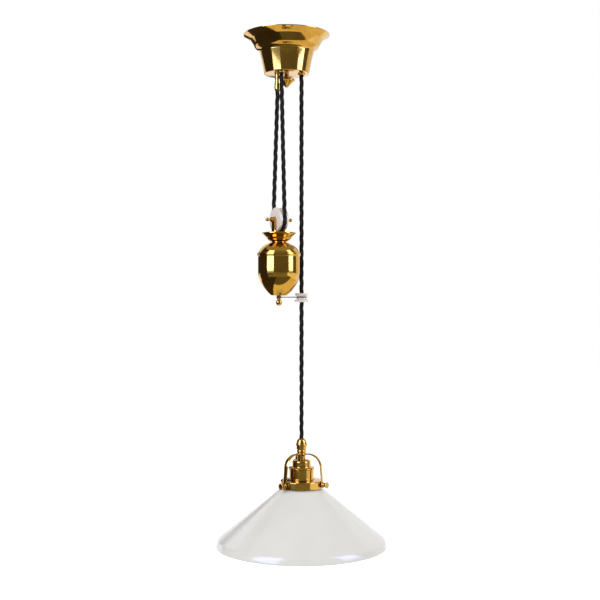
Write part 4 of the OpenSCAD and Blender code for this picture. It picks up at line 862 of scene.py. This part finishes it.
def thumb_screw(side, turn):
    """A screw with a straight-knurled head, its tip in the groove of the glass."""
    knurls, knurl_depth, head_from = 16, 0.5, 3.9
    bm = bmesh.new()
    outline = soften([(0, 28.2), (1.2, 28.2), (1.8, 28.8), (1.8, 36.05), (3, 36.05), (3.6, 37.45),
                      (4.5, 37.45), (4.5, 40.65), (2.7, 40.65), (2.7, 40.05), (0, 40.05)], 0.35)
    for vert in lathe(bm, outline, 128):
        radius = math.hypot(vert.co.x, vert.co.y)
        wave = math.cos(knurls * math.atan2(vert.co.y, vert.co.x))
        groove = max(0.0, wave) ** 2 * knurl_depth * MM
        if radius > head_from * MM:
            vert.co.x *= 1 - groove / radius
            vert.co.y *= 1 - groove / radius
    bmesh.ops.transform(bm, matrix=shift(LAMP[0], LAMP[1], SCREWS) @ turn, verts=bm.verts)
    finish_mesh(bm, "thumb_screw_" + side, LAMP_BRASS, "screw_" + side, ["gallery_screw_" + side])


def build_shade():
    """The opal cone, with a groove round its neck for the tips of the thumb screws."""
    neck, hold = 29.4, 27.9
    top, bead = -654.95, -657.15
    outer = ([(neck, top), (neck, bead + 0.8), (hold, bead), (hold, GALLERY_FOOT + 0.4)]
             + bend((hold + 0.6, GALLERY_FOOT - 0.8), (31.4, GALLERY_FOOT - 1.8), (35.6, SHOULDER), 10)
             + [(119.8, TURN)] + bend((121.4, TURN - 1.2), (124.1, TURN - 4), (125.7, RIM + 1), 10))
    inner = ([(24.9, top), (24.9, GALLERY_FOOT + 0.2)]
             + bend((25.1, GALLERY_FOOT - 1), (26.1, SHOULDER + 0.4), (32, SHOULDER - 2.25), 8)
             + [(116.5, TURN - 2.25)] + bend((119.4, TURN - 3.6), (121.5, TURN - 6), (122.7, RIM + 1), 8))
    turned("opal_cone", [outer + [(125.1, RIM), (123.3, RIM)] + inner[::-1]], LAMP, OPAL, "lamp",
           ["glass_shade"], slot="opal_glass", steps=224, soft=0.8)


build_rose()
build_fittings()
build_pulleys()
build_weight()
build_fork()
build_lamp()
build_socket()
build_carrier()
build_shade()


# ---- CAD nodes that keep their own shape ----

def dress():
    """The guide wire, with its eye and its turn round the bobbin, keeps its own form."""
    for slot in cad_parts["guide_wire"].material_slots:
        slot.material = WIRE_STEEL


dress()


# ---- Studio ----

# The camera's way forward and to its right, the middle of the pendant, and the floor's height in m
LOOK = Vector((0.5, 0.866, 0))
RIGHT = Vector((0.866, -0.5, 0))
MIDDLE = Vector((0, 0, -0.39))
TABLE = -1.25


def around(degrees):
    """Direction from the object, counted from the camera's side round towards image right."""
    turn = math.radians(degrees)
    return -math.cos(turn) * LOOK + math.sin(turn) * RIGHT


def glow(name, code, strength=1.0):
    """A studio surface that shows one even tone."""
    material, tree, shader = new_material(name)
    plug(tree, shader, {
        "Base Color": linear("#000000"),
        "Roughness": 1.0,
        "Emission Color": linear(code),
        "Emission Strength": strength,
    })
    return material


def seen_in_metal(bm, name, material):
    """Makes a studio screen that shows only as a reflection."""
    mesh = bpy.data.meshes.new(name)
    bm.to_mesh(mesh)
    bm.free()
    mesh.materials.append(material)
    sheet = bpy.data.objects.new(name, mesh)
    bpy.context.collection.objects.link(sheet)
    sheet.visible_camera = False
    sheet.visible_diffuse = False
    sheet.visible_shadow = False
    sheet.visible_transmission = False


def screen(name, first, last, foot, top, radius, material):
    """An upright curved screen round the object, from one direction to another."""
    bm = bmesh.new()
    start = around(first) * radius
    verts = [bm.verts.new((start.x, start.y, z)) for z in (foot, top)]
    bmesh.ops.spin(bm, geom=verts + [bm.edges.new(verts)], cent=(0, 0, 0), axis=(0, 0, 1),
                   angle=math.radians(last - first), steps=24, use_merge=False)
    seen_in_metal(bm, name, material)


def card(name, left, right, near, far, height, material):
    """A level card, placed in the camera's own left, right, near and far."""
    bm = bmesh.new()
    bmesh.ops.create_grid(bm, x_segments=1, y_segments=1, size=0.5)
    middle = RIGHT * (left + right) / 2 + LOOK * (near + far) / 2
    place = Matrix.Translation((middle.x, middle.y, height)) @ Matrix.Rotation(CAMERA_TURN, 4, "Z")
    size = Matrix.Diagonal((right - left, far - near, 1, 1))
    bmesh.ops.transform(bm, matrix=place @ size, verts=bm.verts)
    seen_in_metal(bm, name, material)


def softbox(name, degrees, height, distance, width, tall, power):
    """A soft lamp that points at the middle of the pendant and doesn't show in metal."""
    lamp = bpy.data.lights.new(name, "AREA")
    lamp.shape = "RECTANGLE"
    lamp.size, lamp.size_y = width, tall
    lamp.energy = power
    holder = bpy.data.objects.new(name, lamp)
    holder.location = MIDDLE + around(degrees) * distance + Vector((0, 0, height))
    holder.rotation_euler = (MIDDLE - holder.location).to_track_quat("-Z", "Y").to_euler()
    holder.visible_glossy = False
    bpy.context.collection.objects.link(holder)


def seen_as_background(tree):
    """1 for the rays by which the camera, metal and glass see the background, and 0 for the light
    it gives."""
    rays = add(tree, "LightPath")
    total = rays.outputs["Is Camera Ray"]
    for kind in ("Is Glossy Ray", "Is Transmission Ray"):
        total = maths(tree, "ADD", total, rays.outputs[kind], use_clamp=True)
    return total


def build_world():
    """White to look at, and half as bright as a light."""
    world = bpy.data.worlds.new("studio")
    bpy.context.scene.world = world
    world.use_nodes = True
    tree = world.node_tree
    tree.nodes.clear()
    soft = add(tree, "Background", {"Color": linear("#ffffff"), "Strength": 0.5})
    white = add(tree, "Background", {"Color": linear("#ffffff"), "Strength": 1.0})
    mixed = add(tree, "MixShader", {0: seen_as_background(tree), 1: soft.outputs["Background"],
                                    2: white.outputs["Background"]})
    add(tree, "OutputWorld", {"Surface": mixed.outputs["Shader"]})


def build_studio():
    """What the metal reflects: a dim room with two tall windows in front, a lit stretch of wall
    low between them, a dim ceiling and warm paper on the floor. Directions are in degrees, counted
    as around() counts them, and heights and radii in metres."""
    dark, wall = glow("dark_room", "#362e29"), glow("dim_wall", "#67644f")
    lit_wall = glow("lit_wall", "#888a72")
    window, sill = glow("window", "#b6c4ff", 9.0), glow("window_sill", "#a6bad6")
    ceiling, paper = glow("dim_ceiling", "#a5a18c"), glow("warm_paper", "#fff6cc")
    screen("left_room", -128, -64, TABLE, 1.6, 1.9, dark)
    screen("far_left_room", -180, -128, -0.4, 0.08, 1.9, dark)
    screen("front_wall", -64, 48, TABLE, 1.6, 1.9, wall)
    screen("front_low_wall", -34, 48, TABLE, -0.5, 1.85, lit_wall)
    screen("right_wall", 48, 109, -0.45, 1.6, 1.9, wall)
    for side, first, last in (("left", -66, -29), ("right", 56, 82)):
        screen(side + "_window", first, last, -0.31, 1.5, 1.7, window)
        screen(side + "_sill", first, last, -0.52, -0.31, 1.7, sill)
    screen("left_panel", -58, -34, -0.94, -0.84, 1.7, sill)
    card("ceiling", -2.2, 2.2, -2.2, 2.2, 1.62, ceiling)
    card("left_floor", -2.2, -0.45, -2.2, 2.2, TABLE + 0.02, dark)
    card("front_floor", -0.45, 2.2, -2.2, -0.51, TABLE + 0.02, wall)
    card("near_paper", -0.45, 2.2, -0.51, 2.2, TABLE + 0.01, paper)
    softbox("key", -42, 0.9, 1.9, 0.8, 1.6, 18)
    softbox("fill", 73, 0.7, 1.9, 0.6, 1.6, 11)
    softbox("back", 165, 1.0, 2.2, 1.6, 1.6, 10)


def build_floor():
    """A wide pale floor well below the lamp. It keeps the lamp's shadow and shows as white paper."""
    bm = bmesh.new()
    bmesh.ops.create_grid(bm, x_segments=1, y_segments=1, size=9)
    bmesh.ops.translate(bm, vec=(0, 0, TABLE), verts=bm.verts)
    mesh = bpy.data.meshes.new("floor")
    bm.to_mesh(mesh)
    bm.free()
    material, tree, shader = new_material("white_paper")
    plug(tree, shader, {
        "Base Color": linear("#f2f2f2"),
        "Roughness": 0.9,
        "Emission Color": linear("#ffffff"),
        "Emission Strength": maths(tree, "MULTIPLY", seen_as_background(tree), 0.75),
    })
    mesh.materials.append(material)
    floor = bpy.data.objects.new("floor", mesh)
    bpy.context.collection.objects.link(floor)


build_world()
build_studio()
build_floor()
